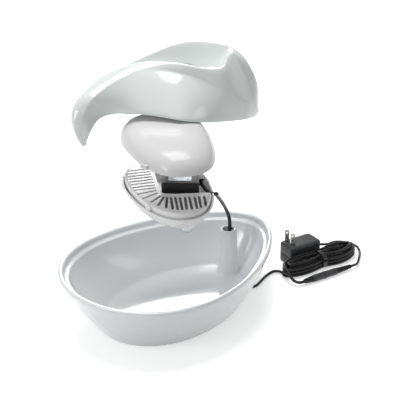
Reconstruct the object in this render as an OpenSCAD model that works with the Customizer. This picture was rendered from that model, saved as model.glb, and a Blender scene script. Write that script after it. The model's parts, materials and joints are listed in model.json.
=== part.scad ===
// Ceramic pet water fountain, shown taken apart: a leaf-shaped bowl with a standpipe,
// an oval pump housing with its filter and lid, a swirled ceramic cover and a plug-in adapter.
// X runs along the bowl (drinking end -X, standpipe end +X), Z is up, and the foot ring
// stands on Z = 0. Sizes are in millimetres.

/* [Display] */
// Height that the pump housing is held above its place in the bowl
housing_raise = 121.5; // [0:0.5:121.5]
// Height that the lid is held above its place
lid_raise = 175.5; // [0:0.5:175.5]
// Height that the ceramic cover is held above its seat
cover_raise = 153; // [0:1:153]

/* [Bowl] */
// Half of the bowl's length at the rim
rim_a = 150; // [145:0.5:155]
// Half of the bowl's mean width at the rim
rim_b = 107.5; // [104:0.5:112]
// Share by which the rim narrows towards the standpipe end
rim_taper = 0.25; // [0.2:0.01:0.3]
// Height of the rim
bowl_h = 71; // [68:0.5:76]
// Half of the foot ring's length
foot_a = 111.5; // [105:0.5:115]
// Half of the foot ring's mean width
foot_b = 70.5; // [66:0.5:74]
// Height of the bowl's inner floor
floor_z = 11; // [10:0.5:13]
// Height of the ledge that carries the cover
ledge_z = 63.5; // [61:0.5:65]
// Height of the standpipe's mouth
pipe_h = 72; // [68:0.5:76]
// Bore of the standpipe
pipe_bore = 14; // [12:0.5:15]

/* [Cover] */
// Bore of the water hole in the dish
spout_bore = 17; // [16:0.5:18]

/* [Housing] */
// Half of the housing's length
case_a = 82.5; // [78:0.5:84]
// Half of the housing's width
case_b = 50.5; // [48:0.5:52]
// Depth of the housing's tray below its lip
tray_h = 16; // [15:0.5:18]
// Height of the lid's dome above the lip
dome_h = 25; // [24:0.5:27]
// Height of the slotted deck above the lip
deck_h = 7; // [6:0.5:8]
// Width of a slot in the deck
slot_w = 3.2; // [2.6:0.1:3.6]

/* [Lead] */
// Diameter of the lead
lead_d = 3.8; // [3.4:0.1:3.8]
// Rise from one layer of the tied hank to the next
hank_rise = 4.5; // [4.4:0.05:4.6]
// Length of the adapter's case
adapter_l = 48; // [46:1:56]
// Width of the adapter's case
adapter_w = 28; // [26:1:32]
// Height of the adapter's case
adapter_h = 26; // [24:1:30]

/* [Hidden] */

seg = 60;                 // points round an oval ring
fine = 48;                // facets of true round parts
foot_shift = 3.5;         // how far the foot's centre sits towards +X
foot_taper = 0.15;
recess_z = 5;             // underside of the floor, inside the foot ring
foot_ring_w = 7;
pipe_x = 96;
case_x = -7;              // centre of the housing in the bowl
case_y = 0;
case_turn = 59;           // long axis of the housing, from +X
case_power = 2.29;        // roundness of the housing's outline
case_taper = -0.18;       // widens towards its far end
feet_h = 11.5;
lip_z = floor_z + feet_h + tray_h;
pump_u = 0;               // centre of the pump in the housing's own axes
pump_v = -12.5;
pump_turn = -16;          // its turn from the housing's long axis
outlet_px = 61;           // water outlet in the pump's own axes
outlet_py = 14;
hose_d = 13;
hose_bore = 9;
hose_bend = 15;
hose_turn = -10;          // direction in which the hose runs up to the dish

ceramic = [0.93, 0.94, 0.94];
glaze_grey = [0.80, 0.83, 0.82];
plastic_white = [0.92, 0.92, 0.91];
clear_rubber = [0.80, 0.83, 0.84];
black_rubber = [0.07, 0.07, 0.08];
black_plastic = [0.12, 0.13, 0.14];
steel = [0.75, 0.74, 0.70];
copper = [0.72, 0.40, 0.20];
carbon_grey = [0.30, 0.30, 0.31];
foam_grey = [0.45, 0.46, 0.47];

// ---------------------------------------------------------------- shared shapes

function mean3(ps) = [for (k = [0:2]) sum_axis(ps, k) / len(ps)];
function sum_axis(ps, k, i = 0) = i >= len(ps) ? 0 : ps[i][k] + sum_axis(ps, k, i + 1);
function mix(p, q, t) = p + (q - p) * t;
function unit(v) = v / norm(v);
function power(x, p) = sign(x) * pow(abs(x), p);

// An oval ring: half length a, half width b, narrowing by share e towards +X.
function oval(a, b, e, cx, z) = [
    for (i = [0:seg - 1])
        let (t = 360 * i / seg)
        [cx + a * cos(t), b * sin(t) * (1 - e * cos(t)), z]
];

// A ring of the housing's outline, moved out by "off".
function case_ring(off, z) = [
    for (i = [0:seg - 1])
        let (
            t = 360 * i / seg,
            u = power(cos(t), 2 / case_power),
            v = power(sin(t), 2 / case_power)
        )
        [(case_a + off) * u, (case_b + off) * v * (1 - case_taper * u), z]
];
function flat(ring) = [for (p = ring) [p.x, p.y]];

// Catmull-Rom curve through the points ps, at t from 0 to len(ps) - 1.
function clampi(i, n) = max(0, min(n - 1, i));
function spline_at(ps, t) =
    let (
        n = len(ps),
        i = clampi(floor(t), n - 1),
        f = t - i,
        a = ps[clampi(i - 1, n)],
        b = ps[i],
        c = ps[i + 1],
        d = ps[clampi(i + 2, n)]
    )
    b + f * (c - a) / 2 + f * f * (a - 2.5 * b + 2 * c - d / 2)
    + f * f * f * (-a / 2 + 1.5 * b - 1.5 * c + d / 2);
function spline(ps, steps) = [
    for (k = [0:(len(ps) - 1) * steps]) spline_at(ps, k / steps)
];

// A closed solid through rings that run from its underside, out and up, and back in.
module loft(rings) {
    n = len(rings[0]);
    m = len(rings);
    points = concat([for (r = rings) each r], [mean3(rings[0]), mean3(rings[m - 1])]);
    faces = concat(
        [for (i = [0:n - 1]) [n * m, i, (i + 1) % n]],
        [for (k = [0:m - 2], i = [0:n - 1]) [k * n + i, (k + 1) * n + i, (k + 1) * n + (i + 1) % n]],
        [for (k = [0:m - 2], i = [0:n - 1]) [k * n + i, (k + 1) * n + (i + 1) % n, k * n + (i + 1) % n]],
        [for (i = [0:n - 1]) [n * m + 1, (m - 1) * n + (i + 1) % n, (m - 1) * n + i]]
    );
    polyhedron(points = points, faces = faces, convexity = 6);
}

// Frames along a path: each is [point, side, up], square to the path.
function tangent(ps, i) = unit(ps[min(i + 1, len(ps) - 1)] - ps[max(i - 1, 0)]);
function frames(ps, i = 0, side = [0, 0, 1], out = []) =
    i == len(ps) ? out :
    let (
        t = tangent(ps, i),
        s0 = side - t * (side * t),
        s = norm(s0) < 0.05 ? unit(cross(t, [0, 1, 0.3])) : unit(s0)
    )
    frames(ps, i + 1, s, concat(out, [[ps[i], s, cross(t, s)]]));
function tube_rings(ps, r, sides) = [
    for (f = frames(ps)) [
        for (j = [0:sides - 1])
            let (a = 360 * (j + 0.5) / sides)
            f[0] + r * cos(a) * f[1] + r * sin(a) * f[2]
    ]
];

// A tube of radius r along the points ps.
module tube(ps, r, sides) {
    loft(tube_rings(ps, r, sides));
}

function turned(p, a) = [p.x * cos(a) - p.y * sin(a), p.x * sin(a) + p.y * cos(a)];
function case_xy(p) = [case_x, case_y] + turned(p, case_turn);
function pump_xy(p) = case_xy([pump_u, pump_v] + turned(p, pump_turn));
outlet_xy = pump_xy([outlet_px, outlet_py]);
dish_xy = outlet_xy + turned([2 * hose_bend, 0], hose_turn);

module in_case(z) {
    translate([case_x, case_y, z]) rotate(case_turn) children();
}
module raised_case() {
    translate([0, 0, housing_raise]) in_case(lip_z) children();
}

// ---------------------------------------------------------------- bowl

function rim_ring(off, z) = oval(rim_a + off, rim_b + off, rim_taper, 0, z);
function foot_ring(off, z) = oval(foot_a + off, foot_b + off, foot_taper, foot_shift, z);
// A ring on the wall: share t of the way from the foot to the rim, with a slight belly.
function wall_ring(t, foot_off, rim_off, z0, z1, belly = 0.07) =
    let (s = t + belly * sin(180 * t))
    oval(
        mix(foot_a + foot_off, rim_a + rim_off, s),
        mix(foot_b + foot_off, rim_b + rim_off, s),
        mix(foot_taper, rim_taper, s),
        mix(foot_shift, 0, s),
        mix(z0, z1, t)
    );

lip_w = 6;                // width of the rounded lip
ledge_w = 6.5;            // width of the ledge inside the lip
wall_t = 7;

module bowl_body() {
    loft([
        foot_ring(-foot_ring_w - 1.5, recess_z),
        foot_ring(-foot_ring_w, 0),
        foot_ring(-1, 0),
        wall_ring(0, 0, 0, 1.2, 66),
        for (t = [0.2:0.2:0.81]) wall_ring(t, 0, 0, 1.2, 66),
        rim_ring(0.2, 66),
        rim_ring(0.4, bowl_h - 2.4),
        rim_ring(-0.6, bowl_h - 0.6),
        rim_ring(-2.6, bowl_h),
        rim_ring(-lip_w + 1.6, bowl_h - 0.4),
        rim_ring(-lip_w, bowl_h - 2),
        rim_ring(-lip_w - 0.5, ledge_z + 0.5),
        rim_ring(-lip_w - ledge_w + 1, ledge_z),
        rim_ring(-lip_w - ledge_w, ledge_z - 1.5),
        for (t = [0.8:-0.2:0.19])
            wall_ring(t, -wall_t, -lip_w - ledge_w - 0.5, floor_z + 3, ledge_z - 3, 0.14),
        foot_ring(-wall_t, floor_z + 3),
        foot_ring(-wall_t - 3, floor_z + 0.4),
        foot_ring(-wall_t - 8, floor_z)
    ]);
}

pipe_foot_r = 14.5;
pipe_top_r = 10;
module standpipe() {
    translate([pipe_x, 0, 0])
    rotate_extrude($fn = fine)
    polygon([
        [0, floor_z - 3],
        [pipe_foot_r + 4, floor_z - 3],
        [pipe_foot_r + 3, floor_z + 0.6],
        [pipe_foot_r + 0.5, floor_z + 3],
        [pipe_top_r + 0.3, pipe_h - 1.5],
        [pipe_top_r - 0.6, pipe_h - 0.3],
        [pipe_top_r - 1.5, pipe_h],
        [0, pipe_h]
    ]);
}

notch_turn = -92;         // direction in which the lead leaves under the bowl
notch_w = 9;
module bowl() {
    color(ceramic)
    difference() {
        union() {
            bowl_body();
            standpipe();
        }
        translate([pipe_x, 0, -1]) cylinder(h = pipe_h + 2, d = pipe_bore, $fn = fine);
        translate([pipe_x, 0, 0]) rotate(notch_turn) translate([14, -notch_w / 2, -1])
            cube([34, notch_w, recess_z + 1.01]);
    }
}

// ---------------------------------------------------------------- cover

// Stations from the tip of the arm to the standpipe end. Each row holds points on the
// cover's section there, as it sits on the bowl: lower front edge, crease, front rim,
// back rim and lower back edge.
cover_rows = [
    [[-65, 81, 57], [-67, 82.6, 57], [-68, 85, 57.4], [-67, 87, 57.6], [-65, 86, 57.4]],
    [[-60, 79, 70], [-68, 84, 73], [-74, 88, 73], [-72, 93, 74], [-63, 90, 71]],
    [[-53, 78, 79], [-69, 82, 87], [-75, 88, 88], [-73, 96, 89], [-56, 95, 80]],
    [[-44, 78, 85], [-64, 81, 101], [-68, 92, 105], [-65, 99, 104], [-46, 98, 84]],
    [[-34, 72, 89], [-54, 78, 114], [-56, 91, 116], [-52, 98, 114], [-35, 100, 84]],
    [[-22, 58, 92], [-30, 77, 124], [-29, 91, 127], [-26, 98, 126], [-20, 101, 80]],
    [[-12, 39, 93], [0, 74, 130], [2, 86, 134], [6, 92, 135], [0, 99, 74]],
    [[-1, 18, 92], [22, 60, 135], [28, 70, 141], [39, 80, 148], [25, 94, 67]],
    [[13, -6, 89], [44, 35, 131], [49, 40, 143], [66, 72, 159], [54, 84, 64.6]],
    [[43, -12, 80], [60, 10, 124], [61, 15, 141], [88, 62, 164], [80, 71, 64]],
    [[75, -15, 73], [73, -12, 111], [78, -4, 143], [106, 46, 163], [105, 55, 64]],
    [[104, -18, 68], [101, -22, 93], [95, 5, 146], [114, 28, 160], [125, 36, 64]],
    [[117, -17, 66], [116, -21, 84], [110, 8, 149], [119, 17, 154], [134.8, 22.2, 64]],
    [[126, -15, 65], [126, -19, 76], [120, -3, 140], [126, 8, 142], [139.6, 11.4, 64]],
    [[132.6, -12, 64], [132.6, -15.6, 70], [128.4, -9, 122], [134, -1, 122], [140.6, 4.8, 64]],
    [[137, -10, 64], [137, -11.6, 66], [136, -10, 102], [139.4, -6, 102], [141.4, 0, 64]]
];
// At the same stations: depth of the dish, belly of the front and back faces,
// and how far out the hollow inside reaches, as a share of the section.
dish_depths = [0, -1, -1, -1, -1, -1, 1, 8, 22, 31, 30, 14, -1, -2, -2, -1];
front_bellies = [0, 1, 2, 3, 4, 5, 6, 6, 6, 5, 5, 4, 3, 2, 1, 0];
back_bellies = [0, 1, 2, 2, 2, 3, 4, 5, 6, 7, 7, 7, 6, 5, 3, 1];
hollow_reach = [0.2, 0.2, 0.3, 0.4, 0.5, 0.64, 0.78, 0.84, 0.87, 0.89, 0.9, 0.89, 0.84, 0.7, 0.4, 0.05];
cover_steps = 3;          // sections per station
crease_index = 6;

function bend(p, c, q, n) = [
    for (k = [0:n - 1])
        let (t = k / n)
        (1 - t) * (1 - t) * p + 2 * t * (1 - t) * c + t * t * q
];
// One section: the front face, the band above the crease, the dish and the back wall.
function cover_section(t, deeper = 0) =
    let (
        row = [for (j = [0:4]) spline_at([for (r = cover_rows) r[j]], t)],
        front = row[0],
        crease = row[1],
        rim = row[2],
        back_rim = row[3],
        back = row[4],
        across = unit([front.x - back.x, front.y - back.y, 0]),
        belly = spline_at(front_bellies, t),
        back_belly = spline_at(back_bellies, t),
        depth = spline_at(dish_depths, t) * (1 + deeper)
    )
    concat(
        bend(front, (front + crease) / 2 + across * belly, crease, crease_index),
        bend(crease, (crease + rim) / 2 + [0, 0, 2] + across * 2, rim, 4),
        [for (k = [0:7]) mix(rim, back_rim, k / 8) - [0, 0, depth * pow(1 - pow(2 * k / 8 - 1, 2), 1.4)]],
        bend(back_rim, (back_rim + back) / 2 - across * back_belly, back, 6),
        [back]
    );
// Rounds the rims a little; the crease and both lower edges stay.
function eased(ps) = [
    for (j = [0:len(ps) - 1])
        j == 0 || j == len(ps) - 1 || j == crease_index
            ? ps[j]
            : ps[j - 1] / 4 + ps[j] / 2 + ps[j + 1] / 4
];
function hollowed(ps, reach) =
    let (base = (ps[0] + ps[len(ps) - 1]) / 2)
    [for (p = ps) base + (p - base) * reach];

module cover_shell() {
    count = (len(cover_rows) - 1) * cover_steps + 1;
    stations = [for (k = [0:count - 1]) k / cover_steps];
    outer = [for (t = stations) eased(cover_section(t))];
    inner = [for (t = stations) hollowed(eased(cover_section(t, 0.2)), spline_at(hollow_reach, t))];
    m = len(outer[0]);
    total = count * m;
    points = concat([for (s = outer) each s], [for (s = inner) each s]);
    faces = concat(
        [for (k = [0:count - 2], j = [0:m - 2]) each quad(k * m + j, m, 0)],
        [for (k = [0:count - 2], j = [0:m - 2]) each quad(total + k * m + j, m, 1)],
        [for (k = [0:count - 2]) each strip(k * m, (k + 1) * m, total + k * m, total + (k + 1) * m, 0)],
        [for (k = [0:count - 2]) each strip(
            k * m + m - 1, (k + 1) * m + m - 1, total + k * m + m - 1, total + (k + 1) * m + m - 1, 1)],
        [for (j = [0:m - 2]) each strip(j, j + 1, total + j, total + j + 1, 1)],
        [for (j = [0:m - 2]) each strip(
            (count - 1) * m + j, (count - 1) * m + j + 1,
            total + (count - 1) * m + j, total + (count - 1) * m + j + 1, 0)]
    );
    polyhedron(points = points, faces = faces, convexity = 10);
}
// Two triangles of a grid cell whose first corner is i, in rows of m points.
function quad(i, m, flip) = flip == 0
    ? [[i, i + m + 1, i + m], [i, i + 1, i + m + 1]]
    : [[i, i + m, i + m + 1], [i, i + m + 1, i + 1]];
// Two triangles between the edge a-b and the edge c-d.
function strip(a, b, c, d, flip) = flip == 0
    ? [[a, d, c], [a, b, d]]
    : [[a, c, d], [a, d, b]];

module cover() {
    color(glaze_grey)
    translate([0, 0, cover_raise])
    difference() {
        union() {
            cover_shell();
            translate([dish_xy.x, dish_xy.y, 111]) cylinder(h = 11, d = spout_bore + 7, $fn = fine);
        }
        translate([dish_xy.x, dish_xy.y, 95]) cylinder(h = 60, d = spout_bore, $fn = fine);
        translate([dish_xy.x, dish_xy.y, 121.9]) cylinder(h = 40, d = spout_bore + 4.8, $fn = fine);
    }
}

// ---------------------------------------------------------------- hose to the dish

// Rubber sleeve in the dish's water hole.
module dish_grommet() {
    color(clear_rubber)
    translate([dish_xy.x, dish_xy.y, cover_raise + 117])
    difference() {
        union() {
            cylinder(h = 5, d = spout_bore, $fn = fine);
            translate([0, 0, 5]) cylinder(h = 1.6, d = spout_bore + 4, $fn = fine);
        }
        translate([0, 0, -1]) cylinder(h = 8, d = hose_d + 0.1, $fn = fine);
    }
}

hose_low = 40;            // lower end of the hose, as it stands when put together
hose_bend_z = 86;
module hose_profile() {
    difference() {
        circle(d = hose_d, $fn = fine);
        circle(d = hose_bore, $fn = fine);
    }
}
// Hose that hangs from the dish, passes through the lid and slips over the pump's outlet.
module riser_hose() {
    color(clear_rubber)
    translate([outlet_xy.x, outlet_xy.y, cover_raise])
    rotate(hose_turn) {
        translate([0, 0, hose_low]) linear_extrude(hose_bend_z - hose_low) hose_profile();
        translate([hose_bend, 0, hose_bend_z]) rotate([90, 0, 180])
            rotate_extrude(angle = 90, $fn = 96) translate([hose_bend, 0]) hose_profile();
        translate([hose_bend, 0, hose_bend_z + 2 * hose_bend]) rotate([-90, 0, 0])
            rotate_extrude(angle = 90, $fn = 96) translate([hose_bend, 0]) hose_profile();
        translate([2 * hose_bend, 0, hose_bend_z + 2 * hose_bend]) linear_extrude(6) hose_profile();
    }
}

// ---------------------------------------------------------------- housing tray and lid

notch_u = -19.5;          // where the lead crosses the tray's lip
notch_v = -46;
module tray_body() {
    loft([
        case_ring(-16, -tray_h),
        case_ring(-11.5, -tray_h + 0.8),
        case_ring(-6.5, -tray_h + 4),
        case_ring(-3.2, -tray_h + 8.5),
        case_ring(-1.9, -2.6),
        case_ring(-0.2, -2.2),
        case_ring(0, -1.2),
        case_ring(-0.2, -0.2),
        case_ring(-0.6, 0),
        case_ring(-2.2, 0),
        case_ring(-2.6, -0.6),
        case_ring(-3.6, -2.5),
        case_ring(-5.2, -tray_h + 9),
        case_ring(-8.2, -tray_h + 5),
        case_ring(-12, -tray_h + 2.4),
        case_ring(-16, -tray_h + 2)
    ]);
}
module housing_tray() {
    color(plastic_white)
    raised_case()
    difference() {
        tray_body();
        translate([notch_u - 2.5, notch_v - 8, -4.4]) cube([5, 14, 6]);
    }
}

feet_places = [[-59, -3], [57, 0], [10, 27], [10, -27]];
module rubber_feet() {
    color(clear_rubber)
    raised_case()
    for (p = feet_places)
        translate([p.x, p.y, -tray_h - feet_h + 0.2])
        rotate_extrude($fn = fine)
        polygon([
            [0, 0], [3.4, 0], [5.6, 0.8], [7.4, 2.6],
            [8.2, 5], [8.4, 7.4], [8.4, feet_h - 0.2], [0, feet_h - 0.2]
        ]);
}

lid_wall = 1.8;
lid_power = 2.6;
lid_skirt = 7.5;          // height of the upright wall under the dome
// A ring of the lid, squarer and a little longer than the tray at its -u end.
function lid_ring(off, z) = [
    for (i = [0:seg - 1])
        let (
            t = 360 * i / seg,
            n = cos(t) < 0 ? 2.6 : case_power,
            u = power(cos(t), 2 / n),
            v = power(sin(t), 2 / n)
        )
        [(case_a + off) * u + min(u, 0) * 2, (case_b + off) * v * (1 - case_taper * u), z]
];
// A ring of the dome, scaled by s from the outline and moved in by "off".
function dome_ring(s, off, z) = [for (p = lid_ring(-off, z)) [p.x * s, p.y * s, z]];
function dome_z(s) = lid_skirt + (dome_h - lid_skirt) * sqrt(1 - pow(s, lid_power));
dome_steps = [0.998, 0.98, 0.94, 0.87, 0.76, 0.6, 0.4, 0.18];
module lid_shell() {
    last = len(dome_steps) - 1;
    loft(concat(
        [for (k = [last:-1:0]) dome_ring(dome_steps[k], lid_wall, dome_z(dome_steps[k]) - lid_wall)],
        [lid_ring(-lid_wall, lid_skirt - 1)],
        [lid_ring(-lid_wall, 0)],
        [lid_ring(-0.2, 0)],
        [lid_ring(0, 0.6)],
        [lid_ring(0, lid_skirt - 1)],
        [for (s = dome_steps) dome_ring(s, 0, dome_z(s))]
    ));
}
module lid() {
    color(plastic_white)
    translate([0, 0, lid_raise])
    difference() {
        union() {
            in_case(lip_z) lid_shell();
            translate([outlet_xy.x, outlet_xy.y, lip_z + 14]) cylinder(h = 10, d = 22, $fn = fine);
            in_case(lip_z) translate([-49.6, 42, 0]) rotate(120)
                translate([-1.4, -5, 0.3]) cube([3.4, 10, 4.5]);
        }
        translate([outlet_xy.x, outlet_xy.y, lip_z]) cylinder(h = 30, d = hose_d + 0.6, $fn = fine);
        translate([outlet_xy.x, outlet_xy.y, lip_z + 21]) cylinder(h = 10, d = 18, $fn = fine);
    }
}
// Soft ring that seals the lid round the hose.
module lid_grommet() {
    color(clear_rubber)
    translate([outlet_xy.x, outlet_xy.y, lid_raise + lip_z + 21])
    difference() {
        cylinder(h = 3.6, d = 18, $fn = fine);
        translate([0, 0, -1]) cylinder(h = 6, d = hose_d + 0.2, $fn = fine);
    }
}

// ---------------------------------------------------------------- filter

// Outline of the open pocket for the pump, and of the wall round it.
pocket = [
    [90, 8], [42, 9], [8, 13], [-11, 15], [-19, 14.5], [-22, 12], [-26, 1], [-33, -37], [-35, -70], [90, -70]
];
pocket_wall = [
    [90, 9.7], [42, 10.7], [8, 14.7], [-11, 16.7], [-19.8, 16.2], [-23.6, 13], [-27.6, 1.3], [-34.7, -37],
    [-36.7, -70], [90, -70]
];
// Slots in the deck, each from its outer end to its inner end.
slots = [
    [[51, 39], [51, 14]], [[43, 42], [43, 14]], [[35, 43.5], [35, 15]], [[28, 44], [28, 15.5]],
    [[20, 44], [20, 16.5]], [[12, 44], [12, 17]], [[4, 44], [4, 18]], [[-4, 44], [-4, 18.5]],
    [[-15, 42.5], [-11, 20]], [[-28, 39.5], [-18, 19.5]], [[-40, 33], [-26, 18]], [[-51, 27.5], [-28, 14.5]],
    [[-60, 20.5], [-30, 11.5]], [[-65, 14], [-31, 7.5]], [[-68, 8.8], [-32, 2.6]], [[-69.5, 4], [-34, -2.4]],
    [[-70, -1], [-36, -8]], [[-71, -7], [-36, -13]], [[-71, -12.8], [-38, -19]], [[-69, -18], [-38, -24]],
    [[-64, -25], [-39.5, -30]]
];
module slot(a, b) {
    d = b - a;
    translate([a.x, a.y, 3]) rotate(atan2(d.y, d.x)) translate([0, -slot_w / 2, 0])
        cube([norm(d), slot_w, 8]);
}
module filter_frame() {
    color(plastic_white)
    raised_case()
    difference() {
        union() {
            loft([
                case_ring(-9.6, -11.5),
                case_ring(-6.8, -8),
                case_ring(-5.4, -4),
                case_ring(-4.6, -1.5),
                case_ring(-4.1, 0.5),
                case_ring(-4.1, deck_h - 2.8),
                case_ring(-4.7, deck_h - 1.2),
                case_ring(-6, deck_h - 0.2),
                case_ring(-7.8, deck_h)
            ]);
            translate([-45.7, 39.4, 0.4]) rotate(26) translate([-4.5, -6, 0]) cube([9, 5.2, 5]);
        }
        difference() {
            loft([
                case_ring(-11.5, -12.5),
                case_ring(-8.6, -8),
                case_ring(-7.2, -4),
                case_ring(-6.4, 0.5),
                case_ring(-6.4, deck_h - 3.4),
                case_ring(-8, deck_h - 2)
            ]);
            translate([0, 0, -14]) linear_extrude(24) polygon(pocket_wall);
        }
        translate([0, 0, -15]) linear_extrude(30) polygon(pocket);
        for (s = slots) slot(s[0], s[1]);
    }
}
module filter_pad(z, h, off) {
    raised_case()
    difference() {
        translate([0, 0, z]) linear_extrude(h) polygon(flat(case_ring(off, 0)));
        translate([0, 0, z - 1]) linear_extrude(h + 2) polygon(pocket_wall);
    }
}
module filter_carbon() {
    color(carbon_grey) filter_pad(0.2, deck_h - 2.4, -8.8);
}
module filter_foam() {
    color(foam_grey) filter_pad(-10.5, 10.7, -12);
}

// ---------------------------------------------------------------- pump

shaft_y = -4;
shaft_z = 1;
port_z = -7.5;
module at_pump() {
    raised_case() translate([pump_u, pump_v, 0]) rotate(pump_turn) children();
}
// A cylinder along +X.
module along_x(x, y, z, h, r) {
    translate([x, y, z]) rotate([0, 90, 0]) cylinder(h = h, r = r, $fn = fine);
}
// A box with round upright edges.
module soft_box(x0, x1, y0, y1, z0, z1, r) {
    h = z1 - z0;
    translate([x0 + r, y0, z0]) cube([x1 - x0 - 2 * r, y1 - y0, h]);
    translate([x0, y0 + r, z0]) cube([x1 - x0, y1 - y0 - 2 * r, h]);
    for (x = [x0 + r, x1 - r], y = [y0 + r, y1 - r])
        translate([x, y, z0]) cylinder(h = h, r = r, $fn = 24);
}
module pump_case() {
    color(black_plastic)
    at_pump()
    difference() {
        soft_box(-20, 10, -22, 22, -13, 17, 1.5);
        difference() {
            translate([-17.5, -19.5, -10.8]) cube([25, 39, 25.6]);
            along_x(-9, shaft_y, shaft_z, 20, 6.9);
        }
        along_x(-8, shaft_y, shaft_z, 20, 5.9);
    }
}
module pump_label() {
    color([0.72, 0.76, 0.78])
    at_pump()
    translate([-15, -13, 17]) cube([19, 27, 0.4]);
}
module volute() {
    color(black_plastic)
    at_pump()
    difference() {
        soft_box(10, 17, -22, 22, -13, 17, 1.5);
        along_x(9, shaft_y, shaft_z, 4, 6.2);
        along_x(11.6, shaft_y, shaft_z, 6, 12);
        translate([14.2, shaft_y, port_z]) rotate([-90, 0, 0]) cylinder(h = 18, r = 2.4, $fn = fine);
        along_x(11.4, outlet_py, port_z, 7, 3.3);
    }
}
module pump_inlet() {
    color(black_plastic)
    at_pump()
    difference() {
        soft_box(17, 20, -22, 22, -13, 17, 1.2);
        along_x(16, outlet_py, port_z, 5, 4.5);
        along_x(16, shaft_y, shaft_z, 2.2, 2.6);
        for (k = [-1:1]) translate([16.5, shaft_y - 1.2 + 5 * k, 5]) cube([4, 2.4, 6]);
        for (k = [-1:1]) translate([16.5, shaft_y - 1.2 + 5 * k, -9.2]) cube([4, 2.4, 6]);
    }
}
module impeller() {
    color([0.85, 0.86, 0.86])
    at_pump()
    difference() {
        union() {
            along_x(12.4, shaft_y, shaft_z, 1.2, 9.5);
            along_x(12.4, shaft_y, shaft_z, 4, 2.6);
            for (k = [0:5]) translate([13, shaft_y, shaft_z]) rotate([60 * k, 0, 0])
                translate([0, -0.6, 1.5]) cube([3.4, 1.2, 8.2]);
        }
        along_x(10, shaft_y, shaft_z, 10, 1.05);
    }
}
module impeller_magnet() {
    color([0.20, 0.20, 0.22])
    at_pump()
    difference() {
        along_x(-4.6, shaft_y, shaft_z, 17, 5.4);
        along_x(-6, shaft_y, shaft_z, 20, 1.05);
    }
}
module impeller_shaft() {
    color(steel) at_pump() along_x(-7, shaft_y, shaft_z, 24.6, 1);
}
module shaft_bushes() {
    color(clear_rubber)
    at_pump()
    difference() {
        union() {
            along_x(-8, shaft_y, shaft_z, 2.6, 5.9);
            along_x(17, shaft_y, shaft_z, 1.2, 2.6);
        }
        along_x(-7, shaft_y, shaft_z, 24.6, 1);
    }
}
module stator_core() {
    color([0.42, 0.43, 0.45])
    at_pump()
    difference() {
        translate([-5, -13, -10]) cube([12, 30.5, 22]);
        translate([-6, 5, -5]) cube([14, 8, 12]);
        along_x(-6, shaft_y, shaft_z, 14, 7.1);
        translate([-6, -14, 0]) cube([14, 10, 2]);
    }
}
module stator_coil() {
    color(copper)
    at_pump()
    difference() {
        translate([-8, 9.2, -4.6]) cube([15.4, 10, 11.2]);
        translate([-5.1, 13, -5.6]) cube([12.2, 4.6, 13.2]);
    }
}
elbow_r = 4.3;
elbow_bend = 9;
module elbow_profile() {
    difference() {
        circle(r = elbow_r, $fn = fine);
        circle(r = 3.2, $fn = fine);
    }
}
module outlet_elbow() {
    color(black_plastic)
    at_pump()
    translate([0, outlet_py, 0]) {
        translate([17, 0, port_z]) rotate([0, 90, 0])
            linear_extrude(outlet_px - elbow_bend - 17) elbow_profile();
        translate([outlet_px - elbow_bend, 0, port_z + elbow_bend]) rotate([90, 0, 0]) rotate(-90)
            rotate_extrude(angle = 90, $fn = 96) translate([elbow_bend, 0]) elbow_profile();
        translate([outlet_px, 0, port_z + elbow_bend])
            linear_extrude(10 - port_z - elbow_bend) elbow_profile();
    }
}
gland_py = -24.6;         // the lead leaves the gland along -x of the pump, at this y
gland_z = 10;
module pump_gland() {
    color(black_rubber)
    at_pump()
    difference() {
        translate([-2, -27, 5]) cube([9, 5, 9]);
        translate([-3, gland_py, gland_z]) rotate([0, 90, 0]) cylinder(h = 4, d = lead_d + 0.3, $fn = 12);
    }
}

// ---------------------------------------------------------------- lead inside the fountain

top_z = lip_z + housing_raise;
// A point given in the housing's own axes, in the frame of the whole fountain.
function case_point(u, v, z) = let (p = case_xy([u, v])) [p.x, p.y, top_z + z];
gland_xy = pump_xy([-1, gland_py]);
gland_end_xy = pump_xy([-6, gland_py]);
pump_lead_points = [
    [gland_xy.x, gland_xy.y, top_z + gland_z],
    [gland_end_xy.x, gland_end_xy.y, top_z + gland_z],
    case_point(-15.6, -34.9, 8.9),
    case_point(-18.6, -36.8, 5.6),
    case_point(-19.6, -40, 1.8),
    case_point(-19.6, -43.4, -1.2),
    case_point(-19.5, -45.6, -2.1),
    case_point(-19.5, -48, -2.3)
];
module pump_lead() {
    color(black_rubber) tube(spline(pump_lead_points, 3), lead_d / 2, 8);
}
riser_points = [
    case_point(-19.5, -49.5, -2.5),
    case_point(-19.5, -51.1, -2.75),
    [34, -37, 150.6],
    [50.5, -26.6, 136.9],
    [68.5, -15.3, 121],
    [79.6, -8.2, 110.8],
    [87, -3.8, 103],
    [94.6, -0.8, 92.5],
    [98.8, 0.6, 81.6],
    [99.6, 0.6, 70]
];
module riser_lead() {
    color(black_rubber) tube(spline(riser_points, 3), lead_d / 2, 8);
}
drop_points = [
    [99.6, 0.6, 70],
    [98.8, 1, 50],
    [97.8, 1.4, 28],
    [97, 1.6, 15],
    [96.8, 0.7, 9],
    [96.4, -1.5, 5],
    [95.8, -5, 2.8],
    [95.2, -10, 2.3],
    [95, -20, 2.3],
    [95, -30, 2.3]
];
module drop_lead() {
    color(black_rubber) tube(spline(drop_points, 3), lead_d / 2, 8);
}

// ---------------------------------------------------------------- free cord and its hank

hank_z0 = 3.2;
hank_centre = [207.5, -57];
hank_turn = -18.3;
// Column and layer of each turn of the hank; the column counts inwards.
hank_places = [[0, 0], [1, 0], [1, 1], [0, 1], [0, 2], [1, 2], [1, 3], [0, 3]];
hank_start = 170;
hank_end = 180 + 360 * 7;
function ease(t) = let (s = max(0, min(1, t))) s * s * (3 - 2 * s);
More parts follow.
